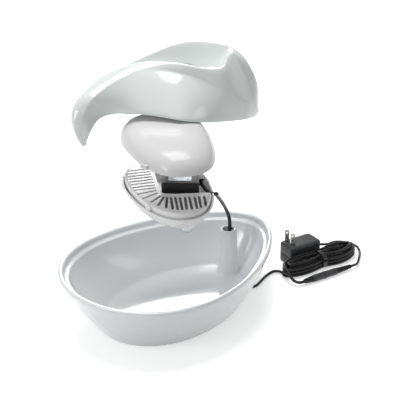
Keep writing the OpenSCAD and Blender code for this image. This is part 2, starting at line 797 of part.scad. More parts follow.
// One point of the hank, with its phase running on from turn to turn. The strand moves to
// its next place along the far run, in the lobe, and swings clear while it climbs.
function hank_point(phase) =
    let (
        k = floor((phase - 20) / 360),
        s = ease((phase - 20 - 360 * k) / 50),
        from = hank_places[clampi(k - 1, 8)],
        to = hank_places[clampi(k, 8)],
        climbs = from.y != to.y,
        swing = climbs ? 0.7 * sin(180 * s) * (from.x == 1 ? 1 : -1) : 0,
        col = mix(from.x, to.x, s) + swing,
        layer = mix(from.y, to.y, s),
        c = cos(phase),
        n = sin(phase),
        side = sign(n),
        x = c > 0 ? c * (57 - 7.2 * col) : c * (59 - 6.4 * col),
        half = 14.7 + 1.5 * c - 5.6 * col,
        middle = x > 0 ? -7 + 10 * pow(x / 57, 2) : -7 + 6 * x / 59,
        y = middle + side * (pow(abs(n), 0.85) * half - 5.6 * exp(-pow(x / 20, 2))),
        p = hank_centre + turned([x, y], hank_turn)
    )
    [p.x, p.y, hank_z0 + hank_rise * layer];
hank_path = [for (a = [hank_start:15:hank_end]) hank_point(a), hank_point(hank_end)];
// Least distance between two strands of the hank, from points along its chords: pairs of
// points at least a third of a turn apart, less the lead's diameter.
hank_marks = [for (k = [0:len(hank_path) - 2], f = [0:0.2:0.8]) mix(hank_path[k], hank_path[k + 1], f)];
function near_gap(i) = min([
    for (j = [i + 40:1:len(hank_marks) - 1])
        if (abs(hank_marks[j].x - hank_marks[i].x) < 9) norm(hank_marks[j] - hank_marks[i]), 99
]);
hank_gap = min([for (i = [0:len(hank_marks) - 1]) near_gap(i)]) - lead_d;
function path_length(ps, i = 1) = i >= len(ps) ? 0 : norm(ps[i] - ps[i - 1]) + path_length(ps, i + 1);
hank_first = hank_path[0];
hank_run = unit(hank_path[1] - hank_path[0]);
supply_points = [
    [95, -30, 2.3],
    [95.3, -34.4, 2.3],
    [96.9, -38.3, 2.3],
    [100.4, -40.7, 2.3],
    [105, -41, 2.3],
    [113, -39, 2.3],
    [124, -35.6, 2.3],
    [134, -33.6, 2.4],
    [141.6, -32.9, 2.6],
    [147.4, -34.1, 2.8],
    [151.2, -38.6, 3],
    hank_first - 4 * hank_run,
    hank_first
];
module supply_lead() {
    color(black_rubber) tube(spline(supply_points, 3), lead_d / 2, 8);
}
module lead_hank() {
    color(black_rubber) tube(hank_path, lead_d / 2, 6);
}

// Twist tie round the waist of the hank.
tie_width = 23.6;         // inside size of the tie, across the bundle
tie_height = 17.6;
module tie_outline(off) {
    r = 1.8 + off;
    for (y = [-1, 1], z = [-1, 1])
        translate([y * (tie_width / 2 - 1.8), z * (tie_height / 2 - 1.8)]) circle(r = r, $fn = 24);
    square([tie_width - 3.6, tie_height + 2 * off], center = true);
    square([tie_width + 2 * off, tie_height - 3.6], center = true);
}
module at_hank() {
    translate([hank_centre.x, hank_centre.y, 0]) rotate(hank_turn) children();
}
module lead_tie() {
    color(black_plastic)
    at_hank()
    translate([-2.2, -7.3, 10.1]) rotate([90, 0, 90]) linear_extrude(4.4)
    difference() {
        tie_outline(0.9);
        tie_outline(0);
    }
}
jack_start = [149, -82, 5.2];
jack_turn = -14;
hank_last = hank_point(hank_end);
jack_lead_points = [
    hank_last,
    hank_last + [-2.3, -3.3, -0.1],
    [142.6, -60.4, 13.4],
    [140.7, -67, 9.6],
    [140, -73.5, 6.6],
    [142.4, -79.2, 5.4],
    [146.1, -81.3, 5.2],
    jack_start
];
module jack_lead() {
    color(black_rubber) tube(spline(jack_lead_points, 3), lead_d / 2, 8);
}
module at_jack(x) {
    translate(jack_start) rotate(jack_turn) translate([x, 0, 0]) rotate([0, 90, 0]) children();
}
// Ribbed strain relief, widening from the lead to a connector.
module relief(length, d0, d1, ribs) {
    cylinder(h = length, d1 = d0, d2 = d1, $fn = fine);
    for (k = [0:ribs - 1])
        translate([0, 0, length * (k + 0.6) / (ribs + 0.6)])
        cylinder(h = 1.3, d = mix(d0, d1, (k + 1) / (ribs + 0.6)) + 1.2, $fn = fine);
}
module jack_relief() {
    color(black_rubber) at_jack(0) relief(14, 4.6, 7, 5);
}
module jack() {
    color(black_plastic)
    at_jack(14)
    difference() {
        union() {
            cylinder(h = 1, d1 = 8.2, d2 = 9.2, $fn = fine);
            translate([0, 0, 1]) cylinder(h = 16, d = 9.2, $fn = fine);
            translate([0, 0, 17]) cylinder(h = 1.6, d = 9.8, $fn = fine);
        }
        translate([0, 0, 7]) cylinder(h = 13, d = 5.7, $fn = fine);
    }
}
module plug() {
    color(black_plastic)
    at_jack(32.6) {
        translate([0, 0, 0.1]) cylinder(h = 1.6, d = 9.6, $fn = fine);
        translate([0, 0, 1.7]) cylinder(h = 16.3, d = 9, $fn = fine);
        translate([0, 0, 18]) cylinder(h = 1.4, d1 = 9, d2 = 7.4, $fn = fine);
        translate([0, 0, -10]) cylinder(h = 10.2, d = 5.5, $fn = fine);
    }
}
module plug_relief() {
    color(black_rubber)
    at_jack(76)
    mirror([0, 0, 1])
    relief(24, 4, 6.6, 9);
}

// ---------------------------------------------------------------- adapter

adapter_centre = [199.8, -33.9];
adapter_turn = -14;
adapter_split = 13;
relief_y = 6;
relief_z = 8.5;
module at_adapter() {
    translate([adapter_centre.x, adapter_centre.y, 0]) rotate(adapter_turn) children();
}
function adapter_xy(p) = adapter_centre + turned(p, adapter_turn);
relief_tip = adapter_xy([adapter_l / 2 + 11.25, relief_y]);
relief_out = adapter_xy([adapter_l / 2 + 15, relief_y]);
plug_tip = [jack_start.x, jack_start.y] + turned([76, 0], jack_turn);
plug_out = [jack_start.x, jack_start.y] + turned([79.4, 0], jack_turn);
adapter_lead_points = [
    [relief_tip.x, relief_tip.y, relief_z],
    [relief_out.x, relief_out.y, relief_z],
    [246, -43.6, 8.4],
    [254, -44.4, 8],
    [262, -47.4, 7.4],
    [269.4, -55, 6.6],
    [272.8, -66, 5.8],
    [270.6, -76, 4.6],
    [263, -84.4, 3.4],
    [252, -91.4, 2.6],
    [242, -97.4, 3],
    [233, -101.4, 4.6],
    [plug_out.x, plug_out.y, jack_start.z],
    [plug_tip.x, plug_tip.y, jack_start.z]
];
module adapter_lead() {
    color(black_rubber) tube(spline(adapter_lead_points, 3), 1.6, 8);
}
module adapter_relief() {
    color(black_rubber)
    at_adapter()
    translate([adapter_l / 2 + 11, relief_y, relief_z]) rotate([0, -90, 0]) relief(11, 4, 6, 4);
}
module shell_box(z0, z1) {
    soft_box(-adapter_l / 2, adapter_l / 2, -adapter_w / 2, adapter_w / 2, z0, z1, 3.5);
}
module shell_cavity(z0, z1) {
    translate([-adapter_l / 2 + 2.2, -adapter_w / 2 + 2.2, z0])
        cube([adapter_l - 4.4, adapter_w - 4.4, z1 - z0]);
}
module adapter_base() {
    color(black_plastic)
    at_adapter()
    difference() {
        shell_box(0, adapter_split);
        shell_cavity(2.2, adapter_split + 1);
    }
}
blade_x = -15.5;
blade_y = 3;
blade_pitch = 12.7;
blade_z = 16;
module adapter_top() {
    color(black_plastic)
    at_adapter()
    difference() {
        shell_box(adapter_split, adapter_h + 1.5);
        shell_cavity(adapter_split - 1, adapter_h - 1);
        for (k = [-1, 1]) translate([blade_x - 3.2, blade_y + k * blade_pitch / 2 - 0.8, adapter_h - 2])
            cube([6.4, 1.6, 5]);
        for (k = [0:2]) translate([6 + 3 * k, -1, adapter_h + 1.1]) cube([0.8, 8, 1]);
    }
}
module adapter_blades() {
    color(steel)
    at_adapter()
    for (k = [-1, 1])
        translate([blade_x, blade_y + k * blade_pitch / 2, adapter_h + 1.5])
        difference() {
            union() {
                translate([-3.15, -0.75, -5]) cube([6.3, 1.5, blade_z + 2]);
                translate([0, -0.75, blade_z - 3.2]) rotate([-90, 0, 0])
                    cylinder(h = 1.5, r = 3.15, $fn = fine);
            }
            translate([0, -1, blade_z - 4]) rotate([-90, 0, 0]) cylinder(h = 2, r = 1.5, $fn = fine);
        }
}
module transformer_core() {
    color([0.42, 0.43, 0.45])
    at_adapter()
    difference() {
        translate([-11, -8, 2.4]) cube([26, 15, 15]);
        translate([-6, -9, 6.4]) cube([5, 17, 7]);
        translate([5, -9, 6.4]) cube([5, 17, 7]);
    }
}
module transformer_coils() {
    color(copper)
    at_adapter()
    difference() {
        translate([-5.8, -10.6, 6.6]) cube([15.6, 20.2, 6.6]);
        translate([-1, -8, 2]) cube([6, 15, 16]);
    }
}

lead_length = path_length(spline(pump_lead_points, 3)) + path_length(spline(riser_points, 3))
    + path_length(spline(drop_points, 3)) + path_length(spline(supply_points, 3))
    + path_length(hank_path) + path_length(spline(jack_lead_points, 3));
echo(str("least gap between the hank's strands: ", hank_gap, " mm"));
echo(str("lead from pump to connector: ", lead_length, " mm"));
echo(str("adapter's lead: ", path_length(spline(adapter_lead_points, 3)), " mm"));

// ---------------------------------------------------------------- preview

bowl();
cover();
dish_grommet();
riser_hose();
housing_tray();
rubber_feet();
lid();
lid_grommet();
filter_frame();
filter_carbon();
filter_foam();
pump_case();
pump_label();
pump_inlet();
volute();
impeller();
impeller_magnet();
impeller_shaft();
shaft_bushes();
stator_core();
stator_coil();
outlet_elbow();
pump_gland();
pump_lead();
riser_lead();
drop_lead();
supply_lead();
lead_hank();
lead_tie();
jack_lead();
jack();
jack_relief();
plug();
plug_relief();
adapter_lead();
adapter_relief();
adapter_base();
adapter_top();
adapter_blades();
transformer_core();
transformer_coils();
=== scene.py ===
# %% [markdown]
# # A ceramic pet fountain, taken apart
# A leaf-shaped bowl with a standpipe, an oval housing that holds a filter and a small pump,
# a domed lid, a swirled ceramic cover with a dish, and a plug-in adapter on a tied lead.
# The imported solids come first: they say where everything is, and nothing here moves them.

# %% Load the solids
import json
import bpy
import numpy as np
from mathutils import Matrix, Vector


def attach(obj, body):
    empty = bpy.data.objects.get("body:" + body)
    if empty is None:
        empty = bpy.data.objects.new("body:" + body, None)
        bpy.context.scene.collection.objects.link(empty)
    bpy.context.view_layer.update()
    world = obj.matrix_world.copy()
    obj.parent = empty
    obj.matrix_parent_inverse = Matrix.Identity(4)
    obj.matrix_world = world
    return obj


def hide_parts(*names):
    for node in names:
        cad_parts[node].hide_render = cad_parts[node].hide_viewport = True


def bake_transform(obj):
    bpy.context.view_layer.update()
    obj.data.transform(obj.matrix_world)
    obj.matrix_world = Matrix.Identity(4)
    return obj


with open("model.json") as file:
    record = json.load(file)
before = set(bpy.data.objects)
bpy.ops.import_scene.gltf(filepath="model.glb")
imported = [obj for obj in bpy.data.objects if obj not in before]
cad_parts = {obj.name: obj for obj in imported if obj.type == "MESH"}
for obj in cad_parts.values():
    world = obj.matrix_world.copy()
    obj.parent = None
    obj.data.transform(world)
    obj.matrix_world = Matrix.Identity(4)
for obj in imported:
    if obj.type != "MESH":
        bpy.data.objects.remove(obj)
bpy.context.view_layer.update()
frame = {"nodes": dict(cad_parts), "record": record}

# %% [markdown]
# ## The camera
# The picture looks down on the fountain from its drinking end, from far off with a long lens,
# so far and near edges keep nearly the same size. A camera could be moved about by hand until
# it fits. Here its place is worked out from the ring of the rim, and typed in.

# %% Camera
camera_data = bpy.data.cameras.new("camera")
camera_data.sensor_width = 36.0
camera_data.lens = 116.9
camera = bpy.data.objects.new("camera", camera_data)
bpy.context.scene.collection.objects.link(camera)
camera.location = (-0.9917, -0.9725, 0.8055)
aim = Vector((0.0615, 0.0165, 0.1179))
camera.rotation_euler = (aim - camera.location).to_track_quat("-Z", "Y").to_euler()
bpy.context.scene.camera = camera
print("camera is", round((aim - camera.location).length, 3), "m from its aim")

# %% [markdown]
# ## Finishes
# Every surface gets a material made of nodes. A material could hold one flat colour, but
# glaze, moulded plastic and rubber differ mostly in how sharp their reflections are and in
# small unevenness. One helper sets up the shader, and two more add a slow change of colour
# and a fine bump, both read from object coordinates so that they stay put on the piece.

# %% Material helpers
def new_finish(name, colour, rough, metallic=0.0, coat=0.0, coat_rough=0.03, ior=1.5, through=0.0):
    """A material with one shader; the constants are set on the shader's own sockets."""
    material = bpy.data.materials.new(name)
    material.use_nodes = True
    shader = material.node_tree.nodes["Principled BSDF"]
    shader.inputs["Base Color"].default_value = (*colour, 1)
    shader.inputs["Roughness"].default_value = rough
    shader.inputs["Metallic"].default_value = metallic
    shader.inputs["Coat Weight"].default_value = coat
    shader.inputs["Coat Roughness"].default_value = coat_rough
    shader.inputs["IOR"].default_value = ior
    shader.inputs["Transmission Weight"].default_value = through
    return material


def noise_of(material, scale, detail=2.0, stretch=(1, 1, 1)):
    """A noise texture on object coordinates; scale is in waves per metre."""
    nodes = material.node_tree.nodes
    links = material.node_tree.links
    place = nodes.new("ShaderNodeTexCoord")
    turn = nodes.new("ShaderNodeMapping")
    turn.inputs["Scale"].default_value = stretch
    noise = nodes.new("ShaderNodeTexNoise")
    noise.inputs["Scale"].default_value = scale
    noise.inputs["Detail"].default_value = detail
    links.new(place.outputs["Object"], turn.inputs["Vector"])
    links.new(turn.outputs["Vector"], noise.inputs["Vector"])
    return noise


def vary_colour(material, low, high, scale, detail=2.0, stretch=(1, 1, 1)):
    """Base colour runs from low to high with a noise."""
    nodes = material.node_tree.nodes
    ramp = nodes.new("ShaderNodeValToRGB")
    ramp.color_ramp.elements[0].position = 0.35
    ramp.color_ramp.elements[1].position = 0.65
    ramp.color_ramp.elements[0].color = (*low, 1)
    ramp.color_ramp.elements[1].color = (*high, 1)
    noise = noise_of(material, scale, detail, stretch)
    material.node_tree.links.new(noise.outputs["Fac"], ramp.inputs["Fac"])
    material.node_tree.links.new(ramp.outputs["Color"], nodes["Principled BSDF"].inputs["Base Color"])


def vary_rough(material, low, high, scale):
    """Roughness runs from low to high with a noise."""
    nodes = material.node_tree.nodes
    spread = nodes.new("ShaderNodeMapRange")
    spread.inputs["From Min"].default_value = 0.3
    spread.inputs["From Max"].default_value = 0.7
    spread.inputs["To Min"].default_value = low
    spread.inputs["To Max"].default_value = high
    noise = noise_of(material, scale)
    material.node_tree.links.new(noise.outputs["Fac"], spread.inputs["Value"])
    material.node_tree.links.new(spread.outputs["Result"], nodes["Principled BSDF"].inputs["Roughness"])


def add_bump(material, scale, depth, strength=1.0, detail=2.0, stretch=(1, 1, 1)):
    """A bump of the given depth, in metres, with a noise as its height."""
    nodes = material.node_tree.nodes
    bump = nodes.new("ShaderNodeBump")
    bump.inputs["Strength"].default_value = strength
    bump.inputs["Distance"].default_value = depth
    noise = noise_of(material, scale, detail, stretch)
    material.node_tree.links.new(noise.outputs["Fac"], bump.inputs["Height"])
    material.node_tree.links.new(bump.outputs["Normal"], nodes["Principled BSDF"].inputs["Normal"])


# %% [markdown]
# Glaze is a thin glassy layer on a slightly uneven body, so its reflections are sharp and
# drift a little. The bowl is a clean white; the cover is a pale grey-green. Moulded plastic
# is softer, and its tiny grain shows only as a duller highlight.

# %% Finishes of this fountain
white_glaze = new_finish("white glaze", (0.80, 0.815, 0.825), 0.16, coat=0.6)
vary_colour(white_glaze, (0.78, 0.80, 0.815), (0.80, 0.82, 0.835), 9)
vary_rough(white_glaze, 0.12, 0.2, 14)
add_bump(white_glaze, 26, 0.0004, 0.35)

green_glaze = new_finish("grey-green glaze", (0.70, 0.74, 0.725), 0.12, coat=0.7)
vary_colour(green_glaze, (0.745, 0.785, 0.77), (0.765, 0.805, 0.79), 11)
vary_rough(green_glaze, 0.09, 0.16, 16)
add_bump(green_glaze, 30, 0.0003, 0.3)

white_moulded = new_finish("white moulded plastic", (0.86, 0.86, 0.855), 0.24)
vary_rough(white_moulded, 0.24, 0.34, 60)
add_bump(white_moulded, 900, 0.00003, 0.25)

lid_moulded = new_finish("polished white plastic", (0.70, 0.69, 0.695), 0.18, ior=1.38)
vary_rough(lid_moulded, 0.15, 0.22, 40)
add_bump(lid_moulded, 40, 0.0001, 0.2)

clear_silicone = new_finish("clear silicone", (0.80, 0.83, 0.84), 0.22, ior=1.41, through=0.55)
vary_rough(clear_silicone, 0.18, 0.3, 90)
add_bump(clear_silicone, 500, 0.00004, 0.3)

carbon_fleece = new_finish("grey fleece over carbon", (0.20, 0.20, 0.205), 0.95)
vary_colour(carbon_fleece, (0.10, 0.10, 0.105), (0.30, 0.30, 0.31), 700, 4)
add_bump(carbon_fleece, 1400, 0.0004, 0.8, 4)

open_foam = new_finish("open foam", (0.25, 0.26, 0.27), 0.95)
vary_colour(open_foam, (0.12, 0.125, 0.13), (0.33, 0.34, 0.35), 900, 3)
add_bump(open_foam, 900, 0.0006, 0.9, 3)

black_moulded = new_finish("satin black plastic", (0.022, 0.022, 0.024), 0.34)
vary_rough(black_moulded, 0.28, 0.42, 120)
add_bump(black_moulded, 1500, 0.00004, 0.35)

grained_case = new_finish("fine-grained dark plastic", (0.035, 0.037, 0.040), 0.45)
vary_rough(grained_case, 0.38, 0.52, 150)
add_bump(grained_case, 2200, 0.00006, 0.5)

connector_moulded = new_finish("dark connector plastic", (0.04, 0.042, 0.045), 0.38)
vary_rough(connector_moulded, 0.3, 0.45, 160)
add_bump(connector_moulded, 1800, 0.00004, 0.4)

black_sheath = new_finish("black lead sheath", (0.009, 0.009, 0.010), 0.3)
vary_rough(black_sheath, 0.24, 0.36, 130)
add_bump(black_sheath, 1200, 0.00005, 0.4)

tie_film = new_finish("glossy black tie", (0.02, 0.02, 0.022), 0.12, coat=0.5)
vary_rough(tie_film, 0.08, 0.2, 200)
add_bump(tie_film, 500, 0.0001, 0.4)

foil = new_finish("plain foil", (0.62, 0.66, 0.68), 0.3, metallic=0.9)
vary_rough(foil, 0.25, 0.4, 300)
add_bump(foil, 260, 0.00008, 0.5)

bright_steel = new_finish("bright steel", (0.72, 0.71, 0.68), 0.22, metallic=1.0)
vary_rough(bright_steel, 0.16, 0.3, 400)
add_bump(bright_steel, 700, 0.00002, 0.4, 2, (1, 1, 0.06))

dull_laminations = new_finish("stacked laminations", (0.33, 0.34, 0.36), 0.45, metallic=0.9)
vary_rough(dull_laminations, 0.4, 0.6, 300)
add_bump(dull_laminations, 1500, 0.0001, 0.6, 1, (0.05, 0.05, 1))

copper_wire = new_finish("enamelled copper", (0.60, 0.26, 0.11), 0.3, metallic=0.9)
vary_rough(copper_wire, 0.25, 0.4, 500)
add_bump(copper_wire, 1800, 0.0002, 0.8, 1, (1, 0.05, 1))

dark_ferrite = new_finish("dark ferrite", (0.05, 0.05, 0.055), 0.4, metallic=0.3)
vary_rough(dark_ferrite, 0.35, 0.5, 300)
add_bump(dark_ferrite, 1200, 0.00005, 0.4)

impeller_white = new_finish("impeller plastic", (0.75, 0.76, 0.76), 0.35)
vary_rough(impeller_white, 0.3, 0.42, 120)
add_bump(impeller_white, 1000, 0.00003, 0.3)
print(len(bpy.data.materials), "finishes")

# %% [markdown]
# The solids that stay in view take one of these finishes each. Nothing else about them
# changes, so the inner parts still look right when the pump is opened up.

# %% Finish for each solid that stays
finish_of_slot = {
    "ceramic": white_glaze, "cover_glaze": green_glaze, "clear_rubber": clear_silicone,
    "white_plastic": white_moulded, "lid_plastic": lid_moulded, "carbon": carbon_fleece,
    "foam": open_foam, "black_plastic": black_moulded, "label": foil,
    "impeller_plastic": impeller_white, "magnet": dark_ferrite, "steel": bright_steel,
    "lamination": dull_laminations, "copper": copper_wire, "black_rubber": black_sheath,
    "tie_plastic": tie_film, "connector_plastic": connector_moulded, "adapter_plastic": grained_case,
}
slot_of_node = {row["node"]: row["material_slot"] for row in frame["record"]["subparts"]}
for node_name, node_object in frame["nodes"].items():
    node_object.data.materials.clear()
    node_object.data.materials.append(finish_of_slot[slot_of_node[node_name]])
print(len(slot_of_node), "solids have their finish")

# %% [markdown]
# ## Surfaces from arrays
# Each new piece is a stack of rings. A ring is a whole numpy array of points, and the mesh
# joins each ring to the next with four-sided faces. The other ways, such as extruding by
# hand, would give the same mesh but no numbers to go back to. All sizes below are written in
# millimetres, and the last step turns them into metres.

# %% Mesh helpers
def add_piece(name, points, faces, body, material, slot_name):
    """A smooth mesh object from points in millimetres, riding on a body of the fountain."""
    mesh = bpy.data.meshes.new(name)
    mesh.from_pydata((np.asarray(points, float) / 1000).tolist(), [], faces)
    mesh.materials.append(material)
    mesh.shade_smooth()
    mesh.update()
    piece = bpy.data.objects.new(name, mesh)
    bpy.context.scene.collection.objects.link(piece)
    if body:
        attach(piece, body)
    return piece


def loft(rings, cap_low=True, cap_high=True):
    """Points and faces of a skin through rings of equal count, from the underside out, up and
    back in. A cap is a fan from the ring's middle."""
    rings = np.asarray(rings, float)
    count, around = rings.shape[:2]
    points = rings.reshape(-1, 3)
    here = (np.arange(count - 1)[:, None] * around + np.arange(around)[None, :]).ravel()
    step = (np.arange(count - 1)[:, None] * around + (np.arange(around) + 1)[None, :] % around).ravel()
    faces = np.stack([here, step, step + around, here + around], axis=1).tolist()
    ring = np.arange(around)
    after = (ring + 1) % around
    if cap_low:
        points = np.vstack([points, rings[0].mean(axis=0)])
        middle = np.full(around, len(points) - 1)
        faces += np.stack([middle, after, ring], axis=1).tolist()
    if cap_high:
        points = np.vstack([points, rings[-1].mean(axis=0)])
        middle = np.full(around, len(points) - 1)
        top = (count - 1) * around
        faces += np.stack([middle, top + ring, top + after], axis=1).tolist()
    return points, faces


def joined(*parts):
    """Several (points, faces) as one."""
    points, faces, base = [], [], 0
    for part_points, part_faces in parts:
        points.append(np.asarray(part_points, float))
        faces += [[index + base for index in face] for face in part_faces]
        base += len(part_points)
    return np.vstack(points), faces


def settle(piece, sharp=None):
    """Turns what the modifiers make into the piece's own mesh; edges past sharp degrees stay crisp."""
    graph = bpy.context.evaluated_depsgraph_get()
    mesh = bpy.data.meshes.new_from_object(piece.evaluated_get(graph))
    old = piece.data
    piece.modifiers.clear()
    piece.data = mesh
    mesh.name = piece.name
    bpy.data.meshes.remove(old)
    mesh.shade_smooth()
    if sharp:
        mesh.set_sharp_from_angle(angle=np.radians(sharp))
    return piece


def smoother(piece, levels=2):
    """A subdivision surface of the same level in the view and the render."""
    modifier = piece.modifiers.new("smooth", "SUBSURF")
    modifier.levels = levels
    modifier.render_levels = levels
    return piece


def cut(piece, points, faces, operation="DIFFERENCE"):
    """Cuts or joins a closed shape given in millimetres, then removes the cutter."""
    tool = add_piece("cutter", points, faces, None, piece.data.materials[0], None)
    modifier = piece.modifiers.new("cut", "BOOLEAN")
    modifier.operation = operation
    modifier.solver = "EXACT"
    modifier.object = tool
    settle(piece)
    mesh = tool.data
    bpy.data.objects.remove(tool)
    bpy.data.meshes.remove(mesh)
    return piece


def circle(centre, radius, z, around=64):
    """Ring: centre + radius (cos t, sin t) at height z."""
    t = np.arange(around) * 2 * np.pi / around
    x = centre[0] + radius * np.cos(t)
    y = centre[1] + radius * np.sin(t)
    return np.stack([x, y, np.full(around, z)], axis=1)


def turned_profile(centre, profile, around=64, cap_low=True, cap_high=True):
    """A turned shape: rings of radius r at height z for each (r, z) of the profile."""
    return loft([circle(centre, r, z, around) for r, z in profile], cap_low, cap_high)


def spline(points, steps):
    """A Catmull-Rom curve: in each span b + f(c-a)/2 + f2(a-2.5b+2c-d/2) + f3(-a/2+1.5b-1.5c+d/2)."""
    points = np.asarray(points, float)
    last = len(points) - 1
    t = np.arange(last * steps + 1) / steps
    i = np.minimum(t.astype(int), last - 1)
    f = (t - i).reshape((-1,) + (1,) * (points.ndim - 1))
    a, b = points[np.maximum(i - 1, 0)], points[i]
    c, d = points[i + 1], points[np.minimum(i + 2, last)]
    square = a - 2.5 * b + 2 * c - d / 2
    cube = -a / 2 + 1.5 * b - 1.5 * c + d / 2
    return b + f * (c - a) / 2 + f**2 * square + f**3 * cube


def tube(path, radius, sides=14):
    """Rings of the given radius, square to the path. Each ring's side direction is the one
    before it with the part along the path taken away, so that the tube doesn't twist."""
    path = np.asarray(path, float)
    along = np.gradient(path, axis=0)
    along /= np.linalg.norm(along, axis=1)[:, None]
    side = np.array([0.0, 0.0, 1.0])
    sides_at = np.empty_like(path)
    for k, direction in enumerate(along):
        flat = side - direction * (side @ direction)
        if np.linalg.norm(flat) < 0.05:
            flat = np.cross(direction, [0, 1, 0.3])
        side = flat / np.linalg.norm(flat)
        sides_at[k] = side
    other = np.cross(along, sides_at)
    t = np.arange(sides) * 2 * np.pi / sides
    radius = np.broadcast_to(radius, len(path))[:, None, None]
    one_way = np.cos(t)[None, :, None] * sides_at[:, None]
    other_way = np.sin(t)[None, :, None] * other[:, None]
    return loft(path[:, None] + radius * (one_way + other_way))


def length_of(path):
    """Length of a path, in its own unit."""
    return float(np.linalg.norm(np.diff(path, axis=0), axis=1).sum())


# %% [markdown]
# ## The lead, first of all
# The lead is one fixed length of something limp, so its route comes before its looks. It
# leaves the pump, crosses to the housing's wall, hangs to the standpipe, drops down the
# bore and comes out under the foot ring. Then it lies on the table to a tied hank. A hank
# could be drawn as closed loops, but a real one is a single strand, so the strand here
# goes round seven times, changing its column and layer as it goes.

# %% Shared numbers of the fountain
LEAD = 3.8
PUMP_SHEATH_RADIUS = LEAD / 2 + 0.2
RISER_SHEATH_RADIUS = LEAD / 2 + 0.4
ADAPTER_LEAD = 3.2
CASE_CENTRE = np.array([-7.0, 0.0])
CASE_TURN = 59.0
LIP_Z = 38.5
TOP_Z = 160.0
COVER_RAISE = 153.0
LID_RAISE = 175.5


def turned(points, degrees):
    """Points turned about the upright axis."""
    points = np.asarray(points, float)
    a = np.radians(degrees)
    x, y = points[..., 0], points[..., 1]
    out = points.copy()
    out[..., 0] = x * np.cos(a) - y * np.sin(a)
    out[..., 1] = x * np.sin(a) + y * np.cos(a)
    return out


def from_case(points, z0=0.0):
    """Points in the housing's own axes, brought into the fountain's."""
    out = turned(points, CASE_TURN)
    out[..., :2] += CASE_CENTRE
    if out.shape[-1] == 3:
        out[..., 2] += z0
    return out


def from_pump(points, z0=0.0):
    """Points in the pump's own axes, brought into the fountain's."""
    out = turned(points, -16)
    out[..., 1] -= 12.5
    return from_case(out, z0)


# %% Route of the lead
gland_hole = from_pump([-1.0, -24.6, 10.0], TOP_Z)
gland_out = from_pump([-6.0, -24.6, 10.0], TOP_Z)
over_housing = [from_case(p, TOP_Z) for p in (
    [-15.6, -34.9, 8.9], [-18.6, -36.8, 5.6], [-19.6, -40.0, 1.8],
    [-19.6, -43.4, -1.2], [-19.5, -45.6, -2.1], [-19.5, -48.0, -2.3])]
pump_path = spline([gland_hole, gland_out, *over_housing], 8)
riser_path = spline([
    from_case([-19.5, -48.5, -2.4], TOP_Z), from_case([-19.5, -51.1, -2.75], TOP_Z),
    [34, -37, 150.6], [50.5, -26.6, 136.9], [68.5, -15.3, 121], [79.6, -8.2, 110.8],
    [87, -3.8, 103], [94.6, -0.8, 92.5], [98.8, 0.6, 81.6], [99.6, 0.6, 70]], 8)
drop_path = spline([
    [99.6, 0.6, 70], [98.8, 1, 50], [97.8, 1.4, 28], [97, 1.6, 15], [96.8, 0.7, 9],
    [96.4, -1.5, 5], [95.8, -5, 2.8], [95.2, -10, 2.3], [95, -20, 2.3], [95, -30, 2.3]], 8)


def hank_points(phase):
    """The strand of the hank. The phase runs on from turn to turn. Each turn has a column and
    a layer, and changes over a sixth of a turn in the far lobe. A turn is an oval whose two
    runs are drawn together at the waist by a bell curve of x."""
    places = np.array([[0, 0], [1, 0], [1, 1], [0, 1], [0, 2], [1, 2], [1, 3], [0, 3]], float)
    k = np.floor((phase - 20) / 360).astype(int)
    t = np.clip((phase - 20 - 360 * k) / 50, 0, 1)
    share = t * t * (3 - 2 * t)
    start = places[np.clip(k - 1, 0, 7)]
    end = places[np.clip(k, 0, 7)]
    climbs = start[:, 1] != end[:, 1]
    swing = np.where(climbs, 0.7 * np.sin(np.pi * share) * np.where(start[:, 0] == 1, 1, -1), 0)
    column = start[:, 0] + (end[:, 0] - start[:, 0]) * share + swing
    layer = start[:, 1] + (end[:, 1] - start[:, 1]) * share
    c, n = np.cos(np.radians(phase)), np.sin(np.radians(phase))
    x = np.where(c > 0, c * (57 - 7.2 * column), c * (59 - 6.4 * column))
    half = 14.7 + 1.5 * c - 5.6 * column
    middle = np.where(x > 0, -7 + 10 * (x / 57) ** 2, -7 + 6 * x / 59)
    y = middle + np.sign(n) * (np.abs(n) ** 0.85 * half - 5.6 * np.exp(-((x / 20) ** 2)))
    out = turned(np.stack([x, y, 3.2 + 4.5 * layer], axis=1), -18.3)
    out[:, :2] += [207.5, -57]
    return out


hank_path = hank_points(np.arange(170, 2700.1, 5.0))
hank_first, hank_last = hank_path[0], hank_path[-1]
hank_coarse = hank_points(np.array([170.0, 185.0]))
hank_run = (hank_coarse[1] - hank_coarse[0]) / np.linalg.norm(hank_coarse[1] - hank_coarse[0])
supply_path = spline([
    [95, -30, 2.3], [95.3, -34.4, 2.3], [96.9, -38.3, 2.3], [100.4, -40.7, 2.3], [105, -41, 2.3],
    [113, -39, 2.3], [124, -35.6, 2.3], [134, -33.6, 2.4], [141.6, -32.9, 2.6], [147.4, -34.1, 2.8],
    [151.2, -38.6, 3], hank_first - 4 * hank_run, hank_first], 8)
jack_start = np.array([149.0, -82.0, 5.2])
jack_path = spline([
    hank_last, hank_last + [-2.3, -3.3, -0.1], [142.6, -60.4, 13.4], [140.7, -67, 9.6],
    [140, -73.5, 6.6], [142.4, -79.2, 5.4], [146.1, -81.3, 5.2], jack_start], 8)
free_path = np.vstack([supply_path[:-1], hank_path[:-1], jack_path])
print("free lead:", round(length_of(free_path)), "mm, hank:", round(length_of(hank_path)), "mm")

# %% Route of the adapter's lead
ADAPTER_CENTRE = np.array([199.8, -33.9])


def from_adapter(points):
    """Points in the adapter's own axes, brought into the fountain's."""
    out = turned(points, -14)
    out[..., :2] += ADAPTER_CENTRE
    return out


def from_jack(distance):
    """A point on the connector's axis, this far from where the lead enters it."""
    return jack_start + turned([distance, 0.0, 0.0], -14)


